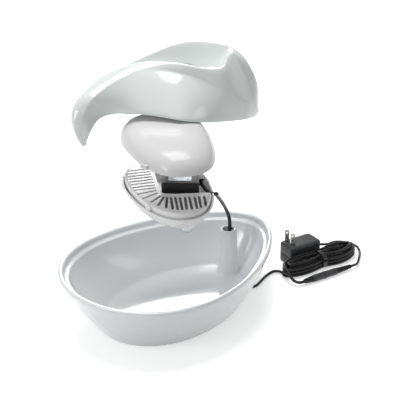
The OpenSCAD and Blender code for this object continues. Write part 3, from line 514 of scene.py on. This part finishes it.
adapter_path = spline([
    from_adapter([35.0, 6.0, 8.5]), from_adapter([39.0, 6.0, 8.5]),
    [246, -43.6, 8.4], [254, -44.4, 8], [262, -47.4, 7.4], [269.4, -55, 6.6],
    [272.8, -66, 5.8], [270.6, -76, 4.6], [263, -84.4, 3.4], [252, -91.4, 2.6], [242, -97.4, 3],
    [233, -101.4, 4.6], from_jack(79.4), from_jack(76.0)], 8)
print("adapter's lead:", round(length_of(adapter_path)), "mm")

# %% Make the leads
pump_tube = tube(pump_path, PUMP_SHEATH_RADIUS)
pump_lead = add_piece("pump_lead_sheath", *pump_tube, "pump", black_sheath, "black_rubber")
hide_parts("pump_lead")

riser = add_piece("riser_sheath", *tube(riser_path, RISER_SHEATH_RADIUS), None, black_sheath, None)
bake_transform(riser)
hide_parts("riser_lead")

drop = add_piece("drop_sheath", *tube(drop_path, LEAD / 2), "base", black_sheath, "black_rubber")
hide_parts("drop_lead")

free_lead = add_piece("supply_sheath", *tube(free_path, LEAD / 2, 12), "base", black_sheath, "black_rubber")
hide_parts("supply_lead", "lead_hank", "jack_lead")
adapter_tube = tube(adapter_path, ADAPTER_LEAD / 2, 12)
adapter_lead = add_piece("adapter_sheath", *adapter_tube, "base", black_sheath, "black_rubber")
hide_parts("adapter_lead")

# %% [markdown]
# ## The bowl
# The bowl is slip-cast stoneware: an oval that narrows towards the pipe, walls that lean out
# with a slight belly, a fat rounded lip and, just inside it, a ledge for the cover. It could
# be a sculpted mesh. As rings it needs only about twenty ovals, and a subdivision surface
# rounds them the way a thick glaze would. The pipe is a turned shape joined on with a flare
# at its foot, and its bore and the lead's groove are cut last.

# %% Rings of the bowl
def oval(half_length, half_width, taper, centre, z, around=72):
    """Ring: x = centre + a cos t, y = b sin t (1 - taper cos t)."""
    t = np.arange(around) * 2 * np.pi / around
    x = centre + half_length * np.cos(t)
    y = half_width * np.sin(t) * (1 - taper * np.cos(t))
    return np.stack([x, y, np.full(around, float(z))], axis=1)


def rim_ring(off, z):
    """The rim's oval, moved out by off."""
    return oval(150 + off, 107.5 + off, 0.25, 0, z)


def foot_ring(off, z):
    """The foot ring's oval, moved out by off."""
    return oval(111.5 + off, 70.5 + off, 0.15, 3.5, z)


def wall_ring(t, foot_off, rim_off, z0, z1, belly=0.07):
    """Share t of the way from foot to rim, pushed out by belly sin(pi t)."""
    s = t + belly * np.sin(np.pi * t)
    mix = lambda p, q: p + (q - p) * s
    return oval(mix(111.5 + foot_off, 150 + rim_off), mix(70.5 + foot_off, 107.5 + rim_off),
                mix(0.15, 0.25), mix(3.5, 0), z0 + (z1 - z0) * t)


bowl_rings = [
    foot_ring(-60, 5), foot_ring(-12, 5), foot_ring(-9.4, 4.6), foot_ring(-8.0, 1.2), foot_ring(-7, 0.1),
    foot_ring(-4, 0), foot_ring(-1.4, 0.1), wall_ring(0, 0, 0, 1.2, 66),
    *[wall_ring(t, 0, 0, 1.2, 66) for t in (0.06, 0.2, 0.4, 0.6, 0.8, 0.94)],
    rim_ring(0.2, 66), rim_ring(0.4, 68.4), rim_ring(-0.1, 70.4), rim_ring(-1.6, 71.2), rim_ring(-3.4, 71.2),
    rim_ring(-5.2, 70.5), rim_ring(-6.1, 69), rim_ring(-6.3, 66), rim_ring(-6.8, 64.4),
    rim_ring(-8.6, 63.5), rim_ring(-10.8, 63.4), rim_ring(-12.4, 62.6), rim_ring(-12.9, 60.6),
    *[wall_ring(t, -7, -13, 14, 60.5, 0.14) for t in (0.93, 0.8, 0.6, 0.4, 0.2, 0.08)],
    foot_ring(-7.4, 13.6), foot_ring(-9.5, 11.8), foot_ring(-14, 11), foot_ring(-30, 11), foot_ring(-60, 11),
]
bowl = add_piece("glazed_bowl", *loft(bowl_rings), "base", white_glaze, "ceramic")
smoother(bowl, 2)
settle(bowl)
print("bowl:", len(bowl.data.polygons), "faces")

# %% Pipe, bore and groove
flare = [(18.5 - 4.6 * (1 - (1 - s) ** 2) ** 0.5, 10.6 + 5.5 * s) for s in np.linspace(0, 1, 7)]
shaft = [(13.6 - 3.2 * s, 17.5 + 52 * s) for s in np.linspace(0, 1, 6)]
pipe_profile = [(18.7, 7), *flare, *shaft, (10.2, 70.6), (9.8, 71.4), (9.1, 71.9), (8.3, 72), (7.6, 71.7),
                (7.1, 71.1), (7.0, 70), (7.0, 40), (7.0, 14), (7.0, 7)]
pipe_rings = np.array([circle((96, 0), r, z, 64) for r, z in pipe_profile])
pipe_points, pipe_faces = loft(np.vstack([pipe_rings, pipe_rings[:1]]), False, False)
cut(bowl, pipe_points, pipe_faces, "UNION")
cut(bowl, *turned_profile((96, 0), [(6.98, -2), (6.98, 30)]))
groove = np.array([circle((0, 0), 4.6, z, 24) for z in (-60.0, -14.0)])
groove[..., 0] *= 0.98
along = np.stack([groove[..., 2] * 0 + groove[..., 0] + 95.2, groove[..., 2], groove[..., 1] + 1.2], axis=-1)
cut(bowl, *loft(along[::-1]))
bowl.data.set_sharp_from_angle(angle=np.radians(50))
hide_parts("bowl")
print("bowl with its pipe:", len(bowl.data.polygons), "faces")

# %% [markdown]
# ## The cover
# The cover is the hardest piece: a leaf whose arm sweeps out over the bowl, folds along a
# crease, swells at the back and sinks into a dish where the water wells up. A net of patches
# could follow it, but one family of sections is easier to keep fair. Sixteen stations each
# hold five given points; a curve through the stations and one through the
# five points give every section, and the inner side is the same section drawn in.

# %% Stations of the cover
cover_rows = np.array([
    [[-65, 81, 57], [-67, 82.6, 57], [-68, 85, 57.4], [-67, 87, 57.6], [-65, 86, 57.4]],
    [[-60, 79, 70], [-68, 84, 73], [-74, 88, 73], [-72, 93, 74], [-63, 90, 71]],
    [[-53, 78, 79], [-69, 82, 87], [-75, 88, 88], [-73, 96, 89], [-56, 95, 80]],
    [[-44, 78, 85], [-64, 81, 101], [-68, 92, 105], [-65, 99, 104], [-46, 98, 84]],
    [[-34, 72, 89], [-54, 78, 114], [-56, 91, 116], [-52, 98, 114], [-35, 100, 84]],
    [[-22, 58, 92], [-30, 77, 124], [-29, 91, 127], [-26, 98, 126], [-20, 101, 80]],
    [[-12, 39, 93], [0, 74, 130], [2, 86, 134], [6, 92, 135], [0, 99, 74]],
    [[-1, 18, 92], [22, 60, 135], [28, 70, 141], [39, 80, 148], [25, 94, 67]],
    [[13, -6, 89], [44, 35, 131], [49, 40, 143], [66, 72, 159], [54, 84, 64.6]],
    [[43, -12, 80], [60, 10, 124], [61, 15, 141], [88, 62, 164], [80, 71, 64]],
    [[75, -15, 73], [73, -12, 111], [78, -4, 143], [106, 46, 163], [105, 55, 64]],
    [[104, -18, 68], [101, -22, 93], [95, 5, 145], [114, 28, 158], [125, 36, 64]],
    [[117, -17, 66], [116, -21, 84], [110, 7, 142], [120, 17, 148], [134.8, 22.2, 64]],
    [[126, -15, 65], [126, -19, 76], [120, -3, 134], [127, 8, 137], [139.6, 11.4, 64]],
    [[132.6, -12, 64], [132.6, -15.6, 70], [128.4, -9, 118], [134, -1, 119], [140.6, 4.8, 64]],
    [[137, -10, 64], [137, -11.6, 66], [136, -10, 102], [139.4, -6, 102], [141.4, 0, 64]],
], float)
dish_depths = np.array([0, -1, -1, -1, -1, -1, 1, 8, 22, 31, 29, 12, -2, -3, -2, -1], float)
front_bellies = np.array([0, 1, 2, 3, 4, 5, 6, 6, 6, 5, 5, 4, 3, 2, 1, 0], float)
back_bellies = np.array([0, 1, 2, 2, 2, 3, 4, 5, 6, 7, 7, 7, 6, 5, 3, 1], float)
hollow_reach = np.array([0.2, 0.2, 0.3, 0.4, 0.5, 0.64, 0.78, 0.84,
                         0.87, 0.89, 0.9, 0.89, 0.84, 0.7, 0.4, 0.05])


def cover_sections(steps, deeper=0.0):
    """Every section from end to end: two quadratic arcs up the front, across the crease to the
    rim, depth (1 - u^2)^1.4 across the dish, and an arc down the back."""
    rows = spline(cover_rows, steps)
    front, crease, rim, back_rim, back = np.moveaxis(rows, 1, 0)
    across = (front - back) * [1, 1, 0]
    across /= np.linalg.norm(across, axis=1)[:, None]
    belly = spline(front_bellies, steps)[:, None]
    back_belly = spline(back_bellies, steps)[:, None]
    depth = spline(dish_depths, steps) * (1 + deeper)

    def arc(p, c, q, n):
        t = (np.arange(n) / n)[None, :, None]
        return (1 - t) ** 2 * p[:, None] + 2 * t * (1 - t) * c[:, None] + t**2 * q[:, None]

    k = np.arange(8) / 8
    dish = rim[:, None] + (back_rim - rim)[:, None] * k[None, :, None]
    dish[..., 2] -= depth[:, None] * (1 - (2 * k[None, :] - 1) ** 2) ** 1.4
    sections = np.concatenate([
        arc(front, (front + crease) / 2 + across * belly, crease, 6),
        arc(crease, (crease + rim) / 2 + [0, 0, 2] + across * 2, rim, 4),
        dish,
        arc(back_rim, (back_rim + back) / 2 - across * back_belly, back, 6),
        back[:, None]], axis=1)
    eased = sections.copy()
    eased[:, 1:-1] = sections[:, :-2] / 4 + sections[:, 1:-1] / 2 + sections[:, 2:] / 4
    eased[:, 6] = sections[:, 6]
    return eased


STEPS = 4
outer = cover_sections(STEPS)
inner = cover_sections(STEPS, 0.2)
reach = spline(hollow_reach, STEPS)[:, None, None]
base_line = (inner[:, :1] + inner[:, -1:]) / 2
inner = base_line + (inner - base_line) * reach
print("cover:", outer.shape[0], "sections of", outer.shape[1], "points")

# %% Skin of the cover
# Each section is a closed loop: over the outside, then back along the inside.
loops = np.concatenate([outer, inner[:, ::-1]], axis=1)
cover_points, cover_faces = loft(loops, False, False)
count, around = loops.shape[:2]
half = around // 2
j = np.arange(half - 1)
first = np.stack([j, around - 1 - j, around - 2 - j, j + 1], axis=1)
last = (count - 1) * around + first[:, ::-1]
cover_faces = cover_faces + first.tolist() + last.tolist()
cover_points = cover_points + [0, 0, COVER_RAISE]
cover = add_piece("glazed_cover", cover_points, cover_faces, "cover", green_glaze, "cover_glaze")

# The fold along the front stays crisp: edges that join two fold points (the seventh point of
# each section) get a crease, which the subdivision surface then keeps.
pairs = np.empty(len(cover.data.edges) * 2, int)
cover.data.edges.foreach_get("vertices", pairs)
pairs = pairs.reshape(-1, 2)
on_fold = ((pairs % around) == 6).all(axis=1) & (pairs < count * around).all(axis=1)
fold = cover.data.attributes.new("crease_edge", "FLOAT", "EDGE")
fold.data.foreach_set("value", on_fold * 0.75)
print("creased edges:", int(on_fold.sum()))


def turn_outwards(piece):
    """Six times the signed volume is the sum of each triangle's triple product; a negative
    sum means the skin is inside out, and every face is flipped."""
    mesh = piece.data
    mesh.calc_loop_triangles()
    corners = np.empty(len(mesh.loop_triangles) * 3, int)
    mesh.loop_triangles.foreach_get("vertices", corners)
    places = np.empty(len(mesh.vertices) * 3)
    mesh.vertices.foreach_get("co", places)
    tri = places.reshape(-1, 3)[corners.reshape(-1, 3)]
    volume = np.einsum("ij,ij->i", tri[:, 0], np.cross(tri[:, 1], tri[:, 2])).sum() / 6
    if volume < 0:
        mesh.flip_normals()
    return volume * 1e6


print("cover's volume:", round(turn_outwards(cover)), "ml")
smoother(cover, 2)
settle(cover)

# %% Water hole and its collar
outlet = from_pump([61.0, 14.0])[:2]
dish_hole = outlet + turned([30.0, 0.0], -10)
collar = [(11.6, COVER_RAISE + 110.6), (12, COVER_RAISE + 111), (12, COVER_RAISE + 120)]
cut(cover, *turned_profile(dish_hole, collar), "UNION")
cut(cover, *turned_profile(dish_hole, [(8.5, COVER_RAISE + 95), (8.5, COVER_RAISE + 150)]))
cut(cover, *turned_profile(dish_hole, [(10.9, COVER_RAISE + 121.9), (10.9, COVER_RAISE + 160)]))
cover.data.set_sharp_from_angle(angle=np.radians(55))
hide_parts("cover")
print("cover:", len(cover.data.polygons), "faces, hole at", dish_hole.round(1))

# %% [markdown]
# ## Housing, lid and filter frame
# These are injection-moulded, so they have even walls, small edge radii and crisp slots. All
# of them share one outline: an oval a little squarer than an ellipse and wider at its far end,
# a superellipse. Rings of that outline give the tray and the dome; the deck's slots and the
# pocket for the pump are cut out of a smooth shell.

# %% The shared outline
def power(x, p):
    """|x| to the power p, with the sign of x."""
    return np.sign(x) * np.abs(x) ** p


def case_ring(off, z, around=96):
    """Superellipse of power 2.29, half axes 82.5 and 50.5, widening towards +u."""
    t = np.arange(around) * 2 * np.pi / around
    u, v = power(np.cos(t), 2 / 2.29), power(np.sin(t), 2 / 2.29)
    return np.stack([(82.5 + off) * u, (50.5 + off) * v * (1 + 0.18 * u), np.full(around, float(z))], axis=1)


def lid_ring(off, z, around=96):
    """The same, squarer (power 2.6) and 2 mm longer at its -u end."""
    t = np.arange(around) * 2 * np.pi / around
    n = np.where(np.cos(t) < 0, 2.6, 2.29)
    u, v = power(np.cos(t), 2 / n), power(np.sin(t), 2 / n)
    return np.stack([(82.5 + off) * u + np.minimum(u, 0) * 2, (50.5 + off) * v * (1 + 0.18 * u),
                     np.full(around, float(z))], axis=1)


def in_case(rings, z0):
    """Rings in the housing's own axes, brought into the fountain's at height z0."""
    return from_case(np.asarray(rings, float), z0)


# %% Tray
tray_rings = in_case([
    case_ring(off, z) for off, z in (
        (-30, -16), (-16, -16), (-13, -15.7), (-10.6, -14.8), (-8.2, -13.2), (-6, -11.4), (-4.2, -9),
        (-3, -6.8), (-2.2, -4.6), (-1.9, -3.2), (-1.5, -2.5), (-0.5, -2.2), (0, -1.7), (0, -0.7),
        (-0.4, -0.1), (-1.5, 0), (-2.3, -0.1), (-2.7, -0.7), (-3.5, -2.5), (-5.2, -7),
        (-8.2, -11), (-12, -13.6), (-16, -14), (-30, -14))], TOP_Z)
tray = add_piece("moulded_tray", *loft(tray_rings), "housing", white_moulded, "white_plastic")
smoother(tray, 1)
settle(tray)


def prism(outline, low, high):
    """Points and faces of an upright prism over a 2-D outline that runs anticlockwise."""
    outline = np.asarray(outline, float)
    rings = np.stack([np.column_stack([outline, np.full(len(outline), float(z))]) for z in (low, high)])
    points = rings.reshape(-1, 3)
    n = len(outline)
    here = np.arange(n)
    after = (here + 1) % n
    faces = np.stack([here, after, after + n, here + n], axis=1).tolist()
    return points, faces + [here[::-1].tolist(), (here + n).tolist()]


def case_prism(outline, low, high):
    """A prism given in the housing's own axes."""
    points, faces = prism(outline, low, high)
    return from_case(points, TOP_Z), faces


cut(tray, *case_prism([[-22, -54], [-17, -54], [-17, -40], [-22, -40]], -4.4, 2))
tray.data.set_sharp_from_angle(angle=np.radians(50))
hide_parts("housing_tray")

# %% Feet
foot_profile = [(0.01, -26.9), (2.4, -26.9), (4.6, -26.5), (6.4, -25.5),
                (7.6, -23.4), (8.2, -21), (8.4, -18.6), (8.4, -15.9)]
foot_shapes = []
for place in ([-59, -3], [57, 0], [10, 27], [10, -27]):
    centre = from_case(np.array(place, float))
    foot_shapes.append(turned_profile(centre, [(r, TOP_Z + z) for r, z in foot_profile], 40))
feet = add_piece("silicone_feet", *joined(*foot_shapes), "housing", clear_silicone, "clear_rubber")
feet.data.set_sharp_from_angle(angle=np.radians(60))
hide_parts("rubber_feet")

# %% Lid
dome_shares = np.array([0.999, 0.99, 0.965, 0.92, 0.85, 0.75, 0.62, 0.46, 0.28, 0.1])


def dome_height(s):
    """25 (1 - s^4.2)^0.5 above the lip, for share s of the way out."""
    return 25 * np.sqrt(1 - s**4.2)


def dome_ring(s, off, z):
    """The lid's outline moved in by off, then scaled by s."""
    ring = lid_ring(-off, z)
    ring[:, :2] *= s
    return ring


lid_rings = in_case(
    [dome_ring(s, 1.3, dome_height(s) - 1.3) for s in dome_shares[:0:-1]]
    + [lid_ring(-1.8, 1.2), lid_ring(-1.8, 0.3), lid_ring(-1.6, 0), lid_ring(-0.5, 0), lid_ring(-0.1, 0.3),
       lid_ring(0, 0.8)]
    + [dome_ring(s, 0, dome_height(s)) for s in dome_shares], LIP_Z + LID_RAISE)
lid = add_piece("domed_lid", *loft(lid_rings), "lid", lid_moulded, "lid_plastic")
smoother(lid, 1)
settle(lid)
lid_z = LIP_Z + LID_RAISE
collar = [(10.6, lid_z + 14), (11, lid_z + 14.4), (11, lid_z + 23.6), (10.6, lid_z + 24)]
cut(lid, *turned_profile(outlet, collar), "UNION")


def tab_outline(centre, degrees, low, high, half_width):
    """A plate from low to high along its own first axis, with two rounded outer corners."""
    t = np.linspace(0, np.pi / 2, 4)
    corner = np.stack([high - 1.2 + 1.2 * np.sin(t), 1.2 * np.cos(t) + half_width - 1.2], axis=1)[::-1]
    outline = np.vstack([[[low, -half_width]], corner[::-1] * [1, -1], corner, [[low, half_width]]])
    return turned(outline, degrees) + centre


tab_points, tab_faces = prism(tab_outline([-49.6, 42.0], 120, -1.4, 2.0, 5.0), 0.3, 4.8)
cut(lid, from_case(tab_points, lid_z), tab_faces, "UNION")
cut(lid, *turned_profile(outlet, [(6.8, lid_z), (6.8, lid_z + 34)]))
cut(lid, *turned_profile(outlet, [(9, lid_z + 21), (9, lid_z + 34)]))
lid.data.set_sharp_from_angle(angle=np.radians(50))
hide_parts("lid")
print("lid:", len(lid.data.polygons), "faces")

# %% Filter frame
frame_rings = in_case([
    case_ring(off, z) for off, z in (
        (-40, -12.3), (-11.5, -12.3), (-9.4, -11), (-6.9, -8), (-5.4, -4), (-4.5, -1.2), (-4.1, 0.8),
        (-4.1, 4.4), (-4.4, 5.6), (-5.2, 6.5), (-6.4, 6.95), (-8.4, 7), (-40, 7))], TOP_Z)
filter_frame = add_piece("slotted_deck", *loft(frame_rings), "filter", white_moulded, "white_plastic")
tab_points, tab_faces = prism(tab_outline([-45.7, 39.4], 116, -5.0, -0.9, 4.4), 0.5, 5.3)
cut(filter_frame, from_case(tab_points, TOP_Z), tab_faces, "UNION")
pocket = [[90, 8], [42, 9], [8, 13], [-11, 15], [-19, 14.5], [-22, 12], [-26, 1],
          [-33, -37], [-35, -70], [90, -70]]
pocket_wall = [[90, 9.7], [42, 10.7], [8, 14.7], [-11, 16.7], [-19.8, 16.2], [-23.6, 13], [-27.6, 1.3],
               [-34.7, -37], [-36.7, -70], [90, -70]]
hollow_rings = in_case([
    case_ring(off, z) for off, z in (
        (-40, -14), (-12.5, -14), (-8.6, -8), (-7.2, -4), (-6.4, 0.5), (-6.4, 3.6), (-8, 5),
        (-40, 5))], TOP_Z)
hollow = add_piece("hollow", *loft(hollow_rings), None, white_moulded, None)
cut(hollow, *case_prism(pocket_wall, -20, 10))
hollow_mesh = hollow.data
room = np.empty(len(hollow_mesh.vertices) * 3)
hollow_mesh.vertices.foreach_get("co", room)
room_faces = [list(face.vertices) for face in hollow_mesh.polygons]
cut(filter_frame, room.reshape(-1, 3) * 1000, room_faces)
bpy.data.objects.remove(hollow)
cut(filter_frame, *case_prism(pocket, -20, 15))
print("filter frame before its slots:", len(filter_frame.data.polygons), "faces")

# %% Slots of the deck
slots = np.array([
    [[51, 39], [51, 14]], [[43, 42], [43, 14]], [[35, 43.5], [35, 15]], [[28, 44], [28, 15.5]],
    [[20, 44], [20, 16.5]], [[12, 44], [12, 17]], [[4, 44], [4, 18]], [[-4, 44], [-4, 18.5]],
    [[-15, 42.5], [-11, 20]], [[-28, 39.5], [-18, 19.5]], [[-40, 33], [-26, 18]], [[-51, 27.5], [-28, 14.5]],
    [[-60, 20.5], [-30, 11.5]], [[-65, 14], [-31, 7.5]], [[-68, 8.8], [-32, 2.6]], [[-69.5, 4], [-34, -2.4]],
    [[-70, -1], [-36, -8]], [[-71, -7], [-36, -13]], [[-71, -12.8], [-38, -19]], [[-69, -18], [-38, -24]],
    [[-64, -25], [-39.5, -30]]], float)


def slot_outline(a, b, width=3.2, turns=6):
    """A rounded slot from a to b: half a circle round each end, joined by straight sides."""
    angle = np.arctan2(*(b - a)[::-1])
    t = np.linspace(-np.pi / 2, np.pi / 2, turns)
    near = a + width / 2 * np.stack([np.cos(t + angle + np.pi), np.sin(t + angle + np.pi)], axis=1)
    far = b + width / 2 * np.stack([np.cos(t + angle), np.sin(t + angle)], axis=1)
    return np.vstack([near, far])


slot_shapes = [case_prism(slot_outline(a + (b - a) * 0.03, b - (b - a) * 0.03), 3, 11) for a, b in slots]
cut(filter_frame, *joined(*slot_shapes))
filter_frame.data.set_sharp_from_angle(angle=np.radians(40))
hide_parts("filter_frame")
print("filter frame:", len(filter_frame.data.polygons), "faces,", len(slots), "slots")

# %% [markdown]
# ## The adapter
# A plug-in adapter is two moulded halves clipped together. A box with bevelled edges would
# come close; stacked superellipses give the same soft corners and let the seam between the
# halves be a true groove.

# %% Adapter case
def soft_ring(half_x, half_y, z, around=96, sharpness=9.0):
    """A rounded rectangle as a superellipse of high power."""
    t = np.arange(around) * 2 * np.pi / around
    return np.stack([half_x * power(np.cos(t), 2 / sharpness), half_y * power(np.sin(t), 2 / sharpness),
                     np.full(around, float(z))], axis=1)


def edge_rings(half_x, half_y, z_low, z_high, radius):
    """Rings from z_low to z_high whose first or last edge is a quarter circle of the radius."""
    angles = np.linspace(0, np.pi / 2, 5)
    low = [soft_ring(half_x - radius * (1 - np.sin(a)), half_y - radius * (1 - np.sin(a)),
                     z_low + radius * (1 - np.cos(a))) for a in angles]
    high = [soft_ring(half_x - radius * (1 - np.cos(a)), half_y - radius * (1 - np.cos(a)),
                      z_high - radius * (1 - np.sin(a))) for a in angles]
    return low, high


low_edge, _ = edge_rings(24, 14, 0, 13, 2.6)
_, high_edge = edge_rings(24, 14, 13, 27.5, 2.6)
base_rings = [soft_ring(10, 6, 0), *low_edge, soft_ring(24, 14, 12.5), soft_ring(23.6, 13.6, 12.95),
              soft_ring(10, 6, 12.95)]
top_rings = [soft_ring(10, 6, 13.05), soft_ring(23.6, 13.6, 13.05), soft_ring(24, 14, 13.5), *high_edge,
             soft_ring(10, 6, 27.5)]


def add_half(name, rings):
    """One half of the adapter's case."""
    return add_piece(name, *loft(from_adapter(np.array(rings))), "base", grained_case, "adapter_plastic")


adapter_base = add_half("adapter_lower_half", base_rings)
adapter_top = add_half("adapter_upper_half", top_rings)
for k in range(3):
    bar = prism([[6 + 3 * k, -1], [6.8 + 3 * k, -1], [6.8 + 3 * k, 7], [6 + 3 * k, 7]], 27.1, 29)
    cut(adapter_top, from_adapter(bar[0]), bar[1])
for piece, node in ((adapter_base, "adapter_base"), (adapter_top, "adapter_top")):
    piece.data.set_sharp_from_angle(angle=np.radians(45))
    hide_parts(node)

# %% [markdown]
# ## The tie
# A flat plastic tie goes several times round the waist of the hank, each turn a little
# askew, so that it catches the light in slanting stripes.

# %% Tie
def tie_band(phase, width=2.6):
    """A flat band wound round a rounded rectangle. Its middle line is the superellipse
    (12.1 cos t, 9.35 sin t) to a power, moving along the hank by 0.9 mm a turn, and the band
    reaches half its width to each side."""
    t = np.radians(phase)
    y = 12.1 * power(np.cos(t), 0.5)
    z = 9.35 * power(np.sin(t), 0.5)
    slant = 0.9 * np.cos(t + 0.6)
    x = (phase / 360 - 2) * 0.95 + slant
    middle = np.stack([x, y, z], axis=1)
    out = np.stack([np.zeros_like(t), y / 12.1, z / 9.35], axis=1)
    out /= np.linalg.norm(out, axis=1)[:, None]
    lift = 0.1 * (phase / 360)[:, None]
    corners = []
    for side, height in ((-0.5, 0.0), (0.5, 0.0), (0.5, 0.28), (0.0, 0.42), (-0.5, 0.28)):
        corners.append(middle + np.array([side * width, 0, 0]) + out * (height + lift))
    return np.stack(corners, axis=1)


band = tie_band(np.arange(0, 1440.1, 6.0))
band = turned(band, -18.3)
band = band + [207.5, -57, 10.1] + turned([0.0, -7.3, 0.0], -18.3)
tie = add_piece("wound_tie", *loft(band), "base", tie_film, "tie_plastic")
turn_outwards(tie)
tie.data.set_sharp_from_angle(angle=np.radians(35))
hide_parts("lead_tie")

# %% [markdown]
# ## What lies free
# The two free leads are the long one from the foot ring to its connector, and the short one
# from the adapter to the plug. Their lengths are printed where their routes are made.

# %% [markdown]
# ## Floor and light
# A plain white floor and four soft lamps. The lamps light the fountain at a plain level; the
# floor alone is brightened for the camera, so the background comes out white and the shadow
# under the bowl stays.

# %% Floor
floor_data = bpy.data.meshes.new("floor")
floor_data.from_pydata([(-6, -6, 0), (6, -6, 0), (6, 6, 0), (-6, 6, 0)], [], [(0, 1, 2, 3)])
floor = bpy.data.objects.new("floor", floor_data)
bpy.context.scene.collection.objects.link(floor)
floor_paint = bpy.data.materials.new("floor paint")
floor_paint.use_nodes = True
nodes, links = floor_paint.node_tree.nodes, floor_paint.node_tree.links
nodes.clear()
matt = nodes.new("ShaderNodeBsdfDiffuse")
matt.inputs["Color"].default_value = (0.8, 0.8, 0.8, 1)
glow = nodes.new("ShaderNodeEmission")
ray = nodes.new("ShaderNodeLightPath")
seen = nodes.new("ShaderNodeMath")
seen.operation = "MAXIMUM"
seen_too = nodes.new("ShaderNodeMath")
seen_too.operation = "MAXIMUM"
level = nodes.new("ShaderNodeMath")
level.operation = "MULTIPLY"
level.inputs[1].default_value = 0.5
total = nodes.new("ShaderNodeAddShader")
out = nodes.new("ShaderNodeOutputMaterial")
links.new(ray.outputs["Is Camera Ray"], seen.inputs[0])
links.new(ray.outputs["Is Glossy Ray"], seen.inputs[1])
links.new(seen.outputs[0], seen_too.inputs[0])
links.new(ray.outputs["Is Transmission Ray"], seen_too.inputs[1])
links.new(seen_too.outputs[0], level.inputs[0])
links.new(level.outputs[0], glow.inputs["Strength"])
links.new(matt.outputs[0], total.inputs[0])
links.new(glow.outputs[0], total.inputs[1])
links.new(total.outputs[0], out.inputs["Surface"])
floor_data.materials.append(floor_paint)


# %% Lamps and world
def add_lamp(name, place, size, power_watts, aim_at=(0.03, 0.0, 0.12)):
    """A square soft lamp that faces the fountain."""
    lamp_data = bpy.data.lights.new(name, "AREA")
    lamp_data.size = size
    lamp_data.energy = power_watts
    lamp = bpy.data.objects.new(name, lamp_data)
    bpy.context.scene.collection.objects.link(lamp)
    lamp.location = place
    lamp.rotation_euler = (Vector(aim_at) - Vector(place)).to_track_quat("-Z", "Y").to_euler()
    return lamp


add_lamp("overhead", (0.15, 0.3, 1.5), 0.8, 14)
add_lamp("left softbox", (-1.3, 0.3, 0.7), 0.5, 5)
add_lamp("right softbox", (0.9, -1.2, 0.9), 0.5, 1)
add_lamp("back window", (1.15, 1.2, 0.8), 0.5, 6)

world = bpy.data.worlds.new("studio")
bpy.context.scene.world = world
world.use_nodes = True
sky = world.node_tree.nodes["Background"]
sky.inputs["Color"].default_value = (1, 1, 1, 1)
path = world.node_tree.nodes.new("ShaderNodeLightPath")
strength = world.node_tree.nodes.new("ShaderNodeMapRange")
strength.inputs["To Min"].default_value = 0.34
strength.inputs["To Max"].default_value = 1.0
world.node_tree.links.new(path.outputs["Is Camera Ray"], strength.inputs["Value"])
world.node_tree.links.new(strength.outputs["Result"], sky.inputs["Strength"])
bpy.context.scene.view_settings.view_transform = "Standard"
